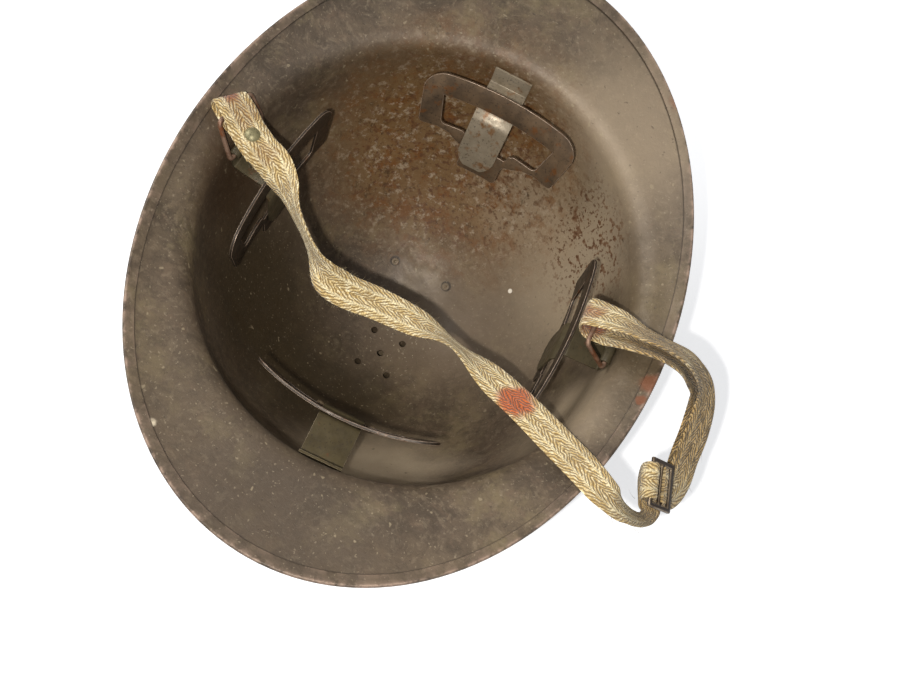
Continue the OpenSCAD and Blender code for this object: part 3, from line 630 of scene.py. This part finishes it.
def rounded_copy(node, name, body, skin, arris, width_mm):
    source = frame["nodes"][node]
    piece = bpy.data.objects.new(name, source.data.copy())
    scene.collection.objects.link(piece)
    pick(piece)
    edit_all()
    bpy.ops.mesh.remove_doubles(threshold=0.004 * MM)
    bpy.ops.mesh.dissolve_limited(angle_limit=math.radians(0.6))
    bpy.ops.mesh.faces_shade_smooth()
    leave_edit()
    coat(piece, skin, arris)
    rounding = piece.modifiers.new("arris", "BEVEL")
    rounding.width = width_mm * MM
    rounding.segments = 2
    rounding.limit_method = "ANGLE"
    rounding.angle_limit = math.radians(38)
    rounding.material = 1
    apply_modifiers(piece)
    shade(piece, 34)
    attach(piece, body)
    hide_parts(node)
    worn = sum(1 for polygon in piece.data.polygons if polygon.material_index == 1)
    print(name, len(piece.data.polygons), "faces,", worn, "on the arris")


for where, strip, sheet in (("front", olive_paint_in_shade, spring_steel_in_shade), ("back", pale_strip, spring_steel),
                            ("left", olive_paint, spring_steel_in_shade), ("right", olive_paint, spring_steel_in_shade)):
    rounded_copy(where + "_bracket", where + "_clip_strip", "helmet", strip, olive_edge, 0.22)
    rounded_copy(where + "_plate", where + "_spring_plate", "helmet", sheet, spring_edge,
                 0.2)

# %% [markdown]
# ## Rivets, washer and slider
# The comb's rivets show only their dished ends inside the bowl. The strap's rivet is a brass one, gone green
# and brown. The slider is a blackened steel ladder buckle: its bars are round from use, so its bevel is the
# widest.

# %% Small metal
# Tarnished brass: dull olive brown, yellow only where its rim is rubbed
brass = small_steel("tarnished_brass", "#8c8462", "#6f6a4c", "#55543c", 0.40, 0.4, 0.45)
brass_edge = small_steel("brass_rubbed_rim", "#a2976c", "#857c58", "#5c5a3c", 0.4, 0.5, 0.4, "#bdb084")
# Steel blackened in hot oil: nearly black, grey brown where the webbing has rubbed its bars
blackened = small_steel("blackened_steel", "#41372f", "#332b26", "#5a3f2c", 0.36, 0.5, 0.45)
blackened_edge = small_steel("blackened_steel_rubbed_bar", "#6d5d4c", "#4a3e34", "#6a4a32", 0.38, 0.6, 0.4,
                             "#8f7f6a")
# The same paint as the bowl, thin and pale on the ends of the rivets
rivet_paint = small_steel("painted_rivet_steel", "#7a6a55", "#5f523f", "#6a4a2c", 0.38, 0.2, 0.5)
rounded_copy("comb_rivets", "comb_rivet_set", "helmet", rivet_paint, blackened_edge, 0.12)
rounded_copy("strap_rivet", "webbing_rivet", "left_bail", brass, brass_edge, 0.25)
rounded_copy("strap_washer", "webbing_washer", "left_bail", brass, brass_edge, 0.15)
rounded_copy("slider", "ladder_slider", "slider", blackened, blackened_edge, 0.5)

# %% [markdown]
# ## Bails: bent wire
# A bail is one length of 2.2 mm wire, bent to a D and closed in the curl of its bracket.
# We add a plane, move its four corners to the corners of the D, round them with a vertex bevel as a bending
# jig would, keep only the edges, and turn them into a curve with a round section.

# %% Place of a side clip
WIRE, HINGE_BAR, TOP_BAR, BAIL_L, BAR_END, CORNER = 2.2, 24.5, 21, 17.5, 0.4, 1.9
LEFT_CLIP_Y, RIGHT_CLIP_Y, LEFT_LEAN, RIGHT_LEAN = 8, -1, 32, 45


def wall_frame(azimuth):
    """Matrix in mm that puts +Y outward on the bowl's widest line, as the CAD model does."""
    x, y = math.cos(azimuth) / BOWL_A, math.sin(azimuth) / BOWL_B
    heading = math.atan2(y, x) - math.pi / 2
    place = Matrix.Translation((BOWL_A * math.cos(azimuth), BOWL_Y + BOWL_B * math.sin(azimuth), 0))
    return place @ Matrix.Rotation(heading, 4, "Z")


# %% Bend the wire
# Bare steel wire, rusted all over: matt red brown, with a little bright metal where the webbing rubs
rusty_wire = small_steel("rusted_steel_wire", "#6d4c36", "#553a29", "#7c4a2a", 0.5, 0.5, 0.5, "#8d7260")


def wire_bail(name, body, azimuth, lean, slip, skew, dip):
    hinge = Vector(next(joint for joint in frame["joints"] if joint["child"] == body)["pos_m"])
    heading = wall_frame(azimuth).to_3x3()
    turned = heading @ Matrix.Rotation(math.radians(90 + lean), 3, "X")
    across = heading @ Vector((1, 0, 0))
    hinge_line = wall_frame(azimuth) @ Vector((slip, 0, 0)) * MM
    middle = hinge + across * (hinge_line - hinge).dot(across)
    corners = [(-HINGE_BAR / 2 - BAR_END, 0, 0), (HINGE_BAR / 2 + BAR_END, 0, 0),
               (skew + TOP_BAR / 2, BAIL_L - dip, 0), (skew - TOP_BAR / 2, BAIL_L, 0)]
    deselect()
    bpy.ops.mesh.primitive_plane_add(size=1)
    wire = bpy.context.object
    wire.name = name
    for index, corner in zip(list(wire.data.polygons[0].vertices), corners):
        wire.data.vertices[index].co = Vector(corner)
    edit_all()
    bpy.ops.mesh.delete(type="ONLY_FACE")
    bpy.ops.mesh.select_all(action="SELECT")
    bpy.ops.mesh.bevel(offset=CORNER, offset_type="OFFSET", segments=6, affect="VERTICES")
    bpy.ops.mesh.select_mode(type="EDGE")
    bpy.ops.mesh.select_all(action="SELECT")
    bpy.ops.mesh.delete(type="ONLY_FACE")
    leave_edit()
    for vertex in wire.data.vertices:
        vertex.co = middle + turned @ vertex.co * MM
    pick(wire)
    bpy.ops.object.convert(target="CURVE")
    wire.data.bevel_depth = WIRE / 2 * MM
    wire.data.bevel_resolution = 4
    bpy.ops.object.convert(target="MESH")
    wire = bpy.context.object
    shade(wire, 60)
    coat(wire, rusty_wire)
    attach(wire, body)
    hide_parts(body)
    print(name, len(wire.data.vertices), "points")


left_azimuth = math.pi - math.asin((LEFT_CLIP_Y - BOWL_Y) / BOWL_B)
right_azimuth = math.asin((RIGHT_CLIP_Y - BOWL_Y) / BOWL_B)
wire_bail("left_wire_bail", "left_bail", left_azimuth, -LEFT_LEAN, 4, 4, 4)
wire_bail("right_wire_bail", "right_bail", right_azimuth, RIGHT_LEAN, -4, 0, 0)

# %% [markdown]
# ## Chin strap
# The strap is woven webbing, 16 mm wide and 1.4 mm thick. It folds round the left bail, where a rivet closes
# the fold. On its way across the bowl it is turned on edge and back, twice. Then it curls up, gathered to
# half its width, goes over the bars of the slider, makes a loop round the right bail and comes back.
# Flat webbing is modelled directly. A smooth curve joins rows that are chosen along its route, and a grid is
# wrapped round that curve, so that it has both faces, two round selvedges and a real thickness.

# %% Rows of the route, in mm: place, heading and tilt of the line across, and half the gap of a double run
LEFT_ROWS = [
    (-102.4, 17.2, 138.3, 54, -12, 2.8), (-96, 13.2, 137.4, 56, -11, 2.7),
    (-91.4, 10.4, 137.3, 57, -5, 1.06), (-87.4, 8, 137, 58, -2, 1), (-80, 4, 136.6, 58, 0, 1)]
ACROSS_ROWS = [
    (-74, 1.8, 136, 58, 16), (-68.6, -1.4, 134, 57, 42), (-63.4, -4.8, 131.4, 55, 66),
    (-58, -9.4, 129, 52, 84), (-49.6, -16.2, 126.8, 50, 92), (-41.4, -22.4, 124, 50, 88),
    (-37, -25.4, 122.2, 54, 68), (-31.6, -28.2, 120.4, 67, 34), (-23, -28.8, 118, 83, 4),
    (-8, -26.8, 116, 88, -4), (7, -26, 115, 88, -9), (15, -26, 115, 86, -23),
    (22.6, -26.6, 115.5, 82, -50), (31, -28.2, 116.2, 75, -62), (38, -30.4, 117.6, 68, -50),
    (46, -33.4, 119.6, 63, -26), (54, -37, 122.2, 61, -11), (66, -42.8, 128, 61, -8),
    (84, -52.6, 136.4, 60, -8), (100, -61, 143.5, 61, -8), (108, -65.4, 145.8, 62, -10),
    (114.6, -67.4, 145.2, 67, -22)]
LOOP_ROWS = [
    (141, -45.6, 120.6, 106, 0, 1), (143.4, -38.6, 117.8, 135, 23, 1.2),
    (142.6, -28, 119.2, 169, 32, 1.3), (141.6, -16.8, 122.8, 184, 33, 1.5),
    (138.6, -5.6, 128.2, 207, 34, 1.8), (134.6, -0.4, 132.4, 230, 36, 2.1), (128, 1.6, 138, 252, 40, 2.3),
    (118, 0.8, 146.4, 266, 46, 2.3), (108, 0, 149.5, 270, 50, 2.4), (99.4, 0, 148.4, 270, 46, 2.8),
    (92, 1.6, 144.6, 270, 36, 3.7), (85.6, 3.2, 139.8, 270, 22, 4.6), (79.4, 4, 136.2, 270, 14, 4.8)]

# %% Place and axes of the slider: along the webbing, along its bars, and up out of its plane
SLIDER_AT, SLIDER_HEADING, SLIDER_DIP = np.array((134.0, -48.0, 131.0)), 15, 34
# From the middle bar to an edge bar, up or down to the webbing, and out to where it turns
PITCH, SLIP, EDGE_TURN = 6.4, 1.9, 9.2
slider_turn, slider_dip = math.radians(SLIDER_HEADING), math.radians(SLIDER_DIP)
RUN = np.array((math.cos(slider_turn) * math.cos(slider_dip), math.sin(slider_turn) * math.cos(slider_dip),
                -math.sin(slider_dip)))
BAR = np.array((-math.sin(slider_turn), math.cos(slider_turn), 0.0))
RISE = np.array((math.cos(slider_turn) * math.sin(slider_dip), math.sin(slider_turn) * math.sin(slider_dip),
                 math.cos(slider_dip)))
# Where the strap curls up to the slider: run, bar and rise, then the line across in the same axes
CURL_ROWS = [
    (-21, -15.2, -2.2, (0.2, 0.86, -0.5)), (-13, -15.8, -4.4, (0.15, 0.8, -0.6)),
    (-5, -15.4, -6.4, (0, 0.75, -0.66)), (3, -13.4, -8.2, (-0.3, 0.5, -0.8)),
    (7.6, -9.4, -9.6, (-0.5, 0.2, -0.85)), (7.4, -5.2, -10.6, (-0.5, 0.3, -0.8)),
    (4.4, -2.4, -10.2, (-0.2, 0.7, -0.7)), (0, -0.8, -8.6, (0, 0.9, -0.4)), (-4.6, 0, -6.2, (0, 1, -0.1))]

# %% Join the rows to one route


def unit(v):
    return v / np.linalg.norm(v)


def line_across(heading, tilt):
    """Unit vector of the line across the webbing, from two angles in degrees."""
    heading, tilt = math.radians(heading), math.radians(tilt)
    return np.array((math.cos(heading) * math.cos(tilt), math.sin(heading) * math.cos(tilt), math.sin(tilt)))


def row_at(rows, i):
    return np.array(rows[max(0, min(len(rows) - 1, i))][:3], float)


def row_axes(rows, i):
    along = unit(row_at(rows, i + 1) - row_at(rows, i - 1))
    across = line_across(*rows[i][3:5])
    across = unit(across - across.dot(along) * along)
    return along, np.cross(along, across)


def layer(rows, face):
    return [(*(row_at(rows, i) + face * rows[i][5] * row_axes(rows, i)[1]), rows[i][3], rows[i][4])
            for i in range(len(rows))]


def fold(rows, i, way, face):
    along, up = row_axes(rows, i)
    return [(*(row_at(rows, i) + rows[i][5] * (math.cos(a) * face * up + math.sin(a) * way * along)),
             rows[i][3], rows[i][4]) for a in (math.radians(d) for d in (36, 72, 108, 144))]


def at_slider(*spots):
    return [(*(SLIDER_AT + u * RUN + w * RISE), 90 + SLIDER_HEADING, 0) for u, w in spots]


def near_slider(u, v, w, line):
    across = unit(line[0] * RUN + line[1] * BAR + line[2] * RISE)
    return (*(SLIDER_AT + u * RUN + v * BAR + w * RISE), math.degrees(math.atan2(across[1], across[0])),
            math.degrees(math.asin(across[2])))


route = list(reversed(layer(LEFT_ROWS, -1))) + fold(LEFT_ROWS, 0, -1, -1) + layer(LEFT_ROWS, 1) + ACROSS_ROWS
route += [near_slider(*spot) for spot in CURL_ROWS]
route += at_slider((-8.2, -3.4), (-EDGE_TURN, -1.2), (-EDGE_TURN, 0.4), (-PITCH - 1, SLIP),
                   (-PITCH + 1, SLIP + 0.1), (-PITCH / 2, 0), (-1.6, -SLIP + 0.2), (0, -SLIP))
split = len(route) - 1
route += at_slider((PITCH / 2, -SLIP - 0.8), (PITCH, -SLIP - 2.1)) + layer(LOOP_ROWS, -1)
route += fold(LOOP_ROWS, len(LOOP_ROWS) - 1, 1, -1) + list(reversed(layer(LOOP_ROWS, 1)))
route += at_slider((PITCH, -SLIP), (PITCH - 1.6, -SLIP + 0.2), (PITCH / 2, 0), (1.6, SLIP - 0.2), (0, SLIP),
                   (-1, SLIP))
print("rows", len(route), "split at", split)

# %% Smooth curve through the rows
STEP, WEB_W, WEB_T = 0.8, 16.0, 1.4
BETWEEN = 24  # points of the curve between two rows
TURN_REACH, TURN_SPREAD = 15, 3.5  # rings and mm over which the turning of the webbing is evened out


def part_way(t, t_first, t_second, first, second):
    return (t_second - t) / (t_second - t_first) * first + (t - t_first) / (t_second - t_first) * second


def dense_curve(rows):
    """Centripetal Catmull-Rom curve through the rows: place, line across and row number."""
    points = [np.array(r[:3], float) for r in rows]
    sides = [line_across(r[3], r[4]) for r in rows]
    points = [2 * points[0] - points[1]] + points + [2 * points[-1] - points[-2]]
    knots = [-math.sqrt(np.linalg.norm(points[1] - points[0]))]
    for a, b in zip(points, points[1:]):
        knots.append(knots[-1] + math.sqrt(np.linalg.norm(b - a)))
    dense = []
    for i in range(len(rows) - 1):
        p0, p1, p2, p3 = points[i:i + 4]
        t0, t1, t2, t3 = knots[i:i + 4]
        for k in range(BETWEEN):
            f = k / BETWEEN
            t = t1 + f * (t2 - t1)
            pairs = ((t0, t1, p0, p1), (t1, t2, p1, p2), (t2, t3, p2, p3))
            a1, a2, a3 = (part_way(t, *pair) for pair in pairs)
            b1, b2 = part_way(t, t0, t2, a1, a2), part_way(t, t1, t3, a2, a3)
            dense.append((part_way(t, t1, t2, b1, b2), (1 - f) * sides[i] + f * sides[i + 1], i + f))
    return dense + [(points[-2], sides[-1], len(rows) - 1.0)]


def smooth_route(rows):
    """Rings every STEP mm: length so far, place, side, up and row number."""
    dense = dense_curve(rows)
    far = [0.0]
    for a, b in zip(dense, dense[1:]):
        far.append(far[-1] + np.linalg.norm(b[0] - a[0]))
    stops = np.linspace(0, far[-1], int(far[-1] / STEP) + 1)
    place, side = (np.array([np.interp(stops, far, [d[part][c] for d in dense]) for c in range(3)]).T
                   for part in (0, 1))
    row = np.interp(stops, far, [d[2] for d in dense])
    reach = np.exp(-0.5 * (np.arange(-TURN_REACH, TURN_REACH + 1) * STEP / TURN_SPREAD) ** 2)
    padded = [np.pad(side[:, c], TURN_REACH, "edge") for c in range(3)]
    side = np.array([np.convolve(line, reach / reach.sum(), "valid") for line in padded]).T
    along = np.gradient(place, axis=0)
    along /= np.linalg.norm(along, axis=1)[:, None]
    side -= (side * along).sum(1)[:, None] * along
    side /= np.linalg.norm(side, axis=1)[:, None]
    return stops, place, side, np.cross(along, side), row


stops, place, side, up, row = smooth_route(route)


def ring_at(row_number):
    return int(np.argmin(np.abs(row - row_number)))


print("webbing length mm", round(stops[-1], 1), "rings", len(stops))

# %% [markdown]
# The section of the webbing has two thicker ribs, a quarter and three quarters of the way across, and
# rounded selvedges. The width wanders by a few tenths of a millimetre, because old webbing does not stay
# even. At the curl under the slider it is gathered to half its width, in soft pleats.

# %% Wrap a grid round the route
TOP = [(0.97, 0.45), (0.9, 0.9), (0.76, 1.0), (0.62, 1.0), (0.54, 1.08), (0.48, 1.16), (0.42, 1.08),
       (0.3, 0.98), (0.12, 0.96)]
upper = TOP + [(-x, z) for x, z in reversed(TOP)]
SECTION = [(1.0, 0.0)] + upper + [(-1.0, 0.0)] + [(x, -z) for x, z in reversed(upper)]
# How far the selvedges wander and draw in, share of the thickness, and how strongly the cloth sags
WANDER, DRAWN_IN, PRESSED, RELIEF, SAG = 0.5, 0.25, 0.96, 0.35, 0.25
# The curl: rows from it to the split, share of the width lost, its length on both sides, and the pleats
CURL_BACK, GATHERED, BEFORE_CURL, AFTER_CURL, PLEAT, PLEAT_RATE = 12.5, 0.5, 24, 12, 2.2, 6.5
random.seed(11)
wander = [(random.uniform(0.03, 0.22), random.uniform(0, 6.3), random.uniform(0.05, 0.16)) for k in range(5)]
curl_at = float(stops[ring_at(split - CURL_BACK)])


def wave(s):
    return sum(size * math.sin(s * rate + start) for rate, start, size in wander)


def bunch(s):
    """Share of its width that the webbing keeps, least where it curls up to the slider."""
    return 1 - GATHERED * math.exp(-((s - curl_at) / (BEFORE_CURL if s < curl_at else AFTER_CURL)) ** 2)


def web(name, first, last):
    count, around = last - first, len(SECTION)
    deselect()
    bpy.ops.mesh.primitive_grid_add(x_subdivisions=count, y_subdivisions=around, size=2, calc_uvs=True)
    made = bpy.context.object
    made.name = name
    mesh = made.data
    weave_places = []
    for vertex in mesh.vertices:
        i = round((vertex.co.x + 1) / 2 * count) + first
        x, z = SECTION[round((vertex.co.y + 1) / 2 * around) % around]
        s = stops[i]
        weave_places.append((s * MM, x * WEB_W / 2 * MM))
        half = (WEB_W / 2 + WANDER * wave(s + (3 if x > 0 else 41)) - DRAWN_IN) * bunch(s)
        pleat = PLEAT * (1 - bunch(s)) * math.cos(PLEAT_RATE * x + 0.5)
        sag = SAG * wave(2.1 * s + 17) * (1 - x * x) + pleat
        lift = WEB_T / 2 * z * PRESSED + RELIEF * sag
        vertex.co = Vector(place[i] + side[i] * half * x + up[i] * lift) * MM
    mesh.uv_layers[0].name = "weave"
    for loop in mesh.loops:
        mesh.uv_layers[0].data[loop.index].uv = weave_places[loop.vertex_index]
    edit_all()
    bpy.ops.mesh.remove_doubles(threshold=0.001 * MM)
    bpy.ops.mesh.fill_holes(sides=0)
    bpy.ops.mesh.select_all(action="SELECT")
    bpy.ops.mesh.normals_make_consistent(inside=False)
    leave_edit()
    shade(made, 60)
    print(name, len(mesh.vertices), "points")
    return made


split_ring, last_ring = ring_at(split), len(stops) - 1
strap_long = web("webbing_long_run", 0, split_ring)
strap_loop = web("webbing_slider_loop", split_ring, last_ring)

# %% [markdown]
# ## Webbing material
# Webbing of this age was linen or cotton in a herringbone: dull, without gloss, with a soft sheen of fibre.
# Its fine ridges slant one way and then the other, and turn at the middle and at the two ribs. The real ones
# are about 0.6 mm apart, which is too fine to show, so they are drawn at 1.45 mm.
# The pattern follows the UV map, in metres: U runs along the strap and V across it, so it twists with the
# cloth. Soil and rust follow the place in space, because they come from what the strap has lain on.

# %% Webbing
RIDGE_MM, BEAD_MM, SLANT, SHAKE, RIB_AT = 1.45, 1.1, 0.55, 0.0036, 0.0039
RUST_MARKS = (
    ((64.5, -42, 127.4), 10.5, 0.9, "#d0590f"), ((-104, 18.6, 138), 6.5, 0.85, "#8e4a2a"),
    ((80, 3.6, 136), 9, 0.85, "#95431a"), ((-78, 3, 137), 7, 0.3, "#8a6434"),
    ((-96, 14, 139), 9, 0.4, "#8a6a3c"))


def ridges(value, pitch_mm, sharp):
    """0 in the grooves and 1 on the ridges of a wave along value (metres)."""
    tree = value.id_data
    angle = add_node(tree, "Math", {0: value, 1: 2000 * math.pi / pitch_mm}, operation="MULTIPLY")
    ridge = add_node(tree, "Math", {0: angle}, operation="SINE")
    half = scaled(ridge, 0.5, 0.5)
    return add_node(tree, "Math", {0: half, 1: sharp}, operation="POWER")


def herringbone_webbing():
    made, tree, shader = new_material("herringbone_webbing", Roughness=0.86, Sheen_Weight=0.25,
                                      Sheen_Roughness=0.6, Specular_IOR_Level=0.25)
    uv = add_node(tree, "UVMap", uv_map="weave")
    thread = add_node(tree, "Mapping", {"Vector": uv, "Scale": (0.35, 1.0, 1.0)})
    ragged = ragged_place(tree, 9, 4)[1]
    # Ridges: one slant between the ribs, the other beside them, shaken a little and cut into beads
    along = add_node(tree, "SeparateXYZ", {0: uv})
    distance = add_node(tree, "Math", {0: along.node.outputs[1]}, operation="ABSOLUTE")
    shake = add_node(tree, "TexNoise", {"Vector": uv, "Scale": 260.0, "Detail": 2.0}, "Fac")
    shaken = scaled(shake, SHAKE, distance)
    inward, outward = scaled(along, SLANT, shaken), scaled(along, -SLANT, shaken)
    middle = add_node(tree, "MapRange", {"Value": distance, "From Min": 0.0041, "From Max": 0.0038})
    twill = add_node(tree, "Mix", {0: middle, 2: ridges(inward, RIDGE_MM, 0.7),
                                   3: ridges(outward, RIDGE_MM, 0.7)}, data_type="FLOAT")
    beads = ridges(along, BEAD_MM, 0.5)
    weave = both(twill, scaled(beads, 0.3, 0.7))
    from_rib = add_node(tree, "Math", {0: distance, 1: RIB_AT}, operation="SUBTRACT")
    from_rib = add_node(tree, "Math", {0: from_rib}, operation="ABSOLUTE")
    rib = add_node(tree, "MapRange", {"Value": from_rib, "From Min": 0.0009, "From Max": 0.0003})
    # Thread: straw, with painted highlights on single threads, painted shade in the grooves, a painted
    # highlight on the ribs, and soil
    straw = spread(noise(ragged, 14, 0.35, 0.7), 1, colour("#d9c189"), "#c2a468")
    # Painted highlights: near white streaks on single threads
    straw = spread(noise(thread, 1.3, 0.46, 0.6), 0.85, straw, "#fbf0ca")
    straw = spread(noise(thread, 0.9, 0.55, 0.66), 0.6, straw, "#8f7340")
    # Painted shade: the grooves between the ridges are dark brown
    base = spread(weave, 1, colour("#7a5f30"), straw)
    # Painted highlight along the ribs, broken by the beads
    rib_highlight_beads = scaled(beads, 0.5, 0.3)
    base = spread(both(rib, rib_highlight_beads), 0.8, base, "#f3e6bc")
    base = spread(noise(ragged, 11, 0.5, 0.72, 5), 0.45, base, "#82683c")
    # The loop and the curl hung outside: browner threads with painted shade in the grooves, and dark spots
    # of painted shade where holes are worn between them
    outside = either(stain(ragged, (141, -12, 130), 40, 0.45),
                     stain(ragged, (106, 1, 149), 22, 0.3))
    outside = either(outside, both(stain(ragged, (135, -55, 122), 22, 0.2), 0.8))
    base = spread(outside, 0.7, base, spread(weave, 1, colour("#3a2c12"), "#c09a5e"))
    base = spread(both(outside, noise(thread, 1.7, 0.5, 0.58)), 0.6, base, "#2e2410")
    # Rust: it soaks deep into the grooves and colours the threads
    for centre, reach, share, tint in RUST_MARKS:
        soaked = spread(weave, 0.8, colour("#662a0b"), tint)
        base = spread(stain(ragged, centre, reach, 0.5), share, base, soaked)
    tree.links.new(base, shader.inputs["Base Color"])
    height = scaled(rib, 0.5, weave)
    bumped(shader, height, 0.4, 1.0)
    print("nodes in the webbing", len(tree.nodes))
    return made


webbing = herringbone_webbing()

# %% [markdown]
# Old webbing frays along its selvedges: single fibres spring out and curl.
# One fibre is a thin three sided tube. A seed fixes where they stand, so every render is the same.

# %% Frayed fibres
FIBRE_R, FIBRE_RINGS, FIBRE_SIDES, FROM_END = 0.085, 5, 3, 3
NEAR_SPOTS, SPOT_RINGS = 0.6, 9  # share of the fibres that stand near the worn spots, and how near


def fray(target, first, last, count, seed, spots):
    random.seed(seed)
    points, faces = [], []
    for n in range(count):
        if random.random() < NEAR_SPOTS:
            i = int(random.choice(spots) + random.gauss(0, SPOT_RINGS))
        else:
            i = random.randrange(first + FROM_END, last - FROM_END)
        i = max(first + FROM_END, min(last - FROM_END, i))
        edge = random.choice((-1, 1))
        reach, bend = random.uniform(1.5, 5.5), random.uniform(-2.2, 2.2)
        lift = random.uniform(-1.2, 1.6)
        along = unit(place[i + 1] - place[i])
        start = place[i] + side[i] * edge * (WEB_W / 2 - 0.8)
        base = len(points)
        for k in range(FIBRE_RINGS):
            f = k / (FIBRE_RINGS - 1)
            middle = (start + side[i] * edge * reach * 0.55 * f + along * (bend * f * f + 0.5 * reach * f)
                      + up[i] * lift * f * f)
            radius = FIBRE_R * (1.15 - f)
            for a in range(FIBRE_SIDES):
                angle = a * 2 * math.pi / FIBRE_SIDES
                off_axis = radius * (math.cos(angle) * up[i] + math.sin(angle) * along)
                points.append(tuple((middle + off_axis) * MM))
            if k:
                for a in range(FIBRE_SIDES):
                    b, c = base + (k - 1) * FIBRE_SIDES, (a + 1) % FIBRE_SIDES
                    faces.append((b + a, b + c, b + FIBRE_SIDES + c, b + FIBRE_SIDES + a))
        root, tip = range(base, base + FIBRE_SIDES), range(len(points) - FIBRE_SIDES, len(points))
        faces += [(root[0], *reversed(root[1:])), tuple(tip)]
    mesh = bpy.data.meshes.new("fibres")
    mesh.from_pydata(points, [], faces)
    mesh.uv_layers.new(name="weave")
    fibres = bpy.data.objects.new("fibres", mesh)
    scene.collection.objects.link(fibres)
    pick(fibres)
    edit_all()
    bpy.ops.mesh.normals_make_consistent(inside=False)
    leave_edit()
    pick(target)
    fibres.select_set(True)
    bpy.ops.object.join()


def rings_near(*spots):
    return [int(np.argmin(np.linalg.norm(place - np.array(spot), axis=1))) for spot in spots]


fray(strap_long, 0, split_ring, 120, 5, rings_near((-23, -28.8, 118), (-31, -28, 120), (12, -26, 115)))
fray(strap_loop, split_ring, last_ring, 50, 6, rings_near((108, 0, 149), (140, -5, 128)))
for piece, length, joined, start, end in (
        (strap_long, stops[split_ring], "left_bail", (-0.066, -0.003, 0.1335), (-0.084, 0.006, 0.1368)),
        (strap_loop, stops[-1] - stops[split_ring], "right_bail", (0.118, 0.001, 0.145),
         (0.092, 0.001, 0.145))):
    coat(piece, webbing)
    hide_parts("chin_strap")
    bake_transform(piece)
    print(piece.name, "cut length mm", round(float(length), 1))

# %% [markdown]
# ## Floor and world
# The photograph shows white all round, with only a faint blue shadow under the strap.
# The floor is a pale diffuse plane. To the camera it also glows a little, which lifts it to white but leaves
# the shadow. The same light reaches mirrors and glass, so that metal reflects a white room.

# %% Floor and world
deselect()
bpy.ops.mesh.primitive_plane_add(size=6)
floor = bpy.context.object
floor.name = "floor"
# Matt paper: no gloss, a trace of blue
paper, tree, shader = new_material("white_paper", Roughness=0.9, Base_Color=colour("#eceef2"),
                                   Emission_Color=(1, 1, 1, 1))
seen = add_node(tree, "LightPath", out="Is Camera Ray")
rays = seen.node.outputs
seen = either(either(seen, rays["Is Glossy Ray"]), rays["Is Transmission Ray"])
glow = add_node(tree, "Math", {0: seen, 1: 0.52}, operation="MULTIPLY")
tree.links.new(glow, shader.inputs["Emission Strength"])
floor.data.materials.append(paper)
world = bpy.data.worlds.new("pale_room")
scene.world = world
world.use_nodes = True
tree = world.node_tree
sky = tree.nodes["Background"]
sky.inputs["Color"].default_value = (0.97, 0.98, 1, 1)
seen = add_node(tree, "LightPath", out="Is Camera Ray")
seen = either(seen, seen.node.outputs["Is Transmission Ray"])
level = scaled(seen, 0.62, 0.38)
tree.links.new(level, sky.inputs["Strength"])
print("floor and world ready")
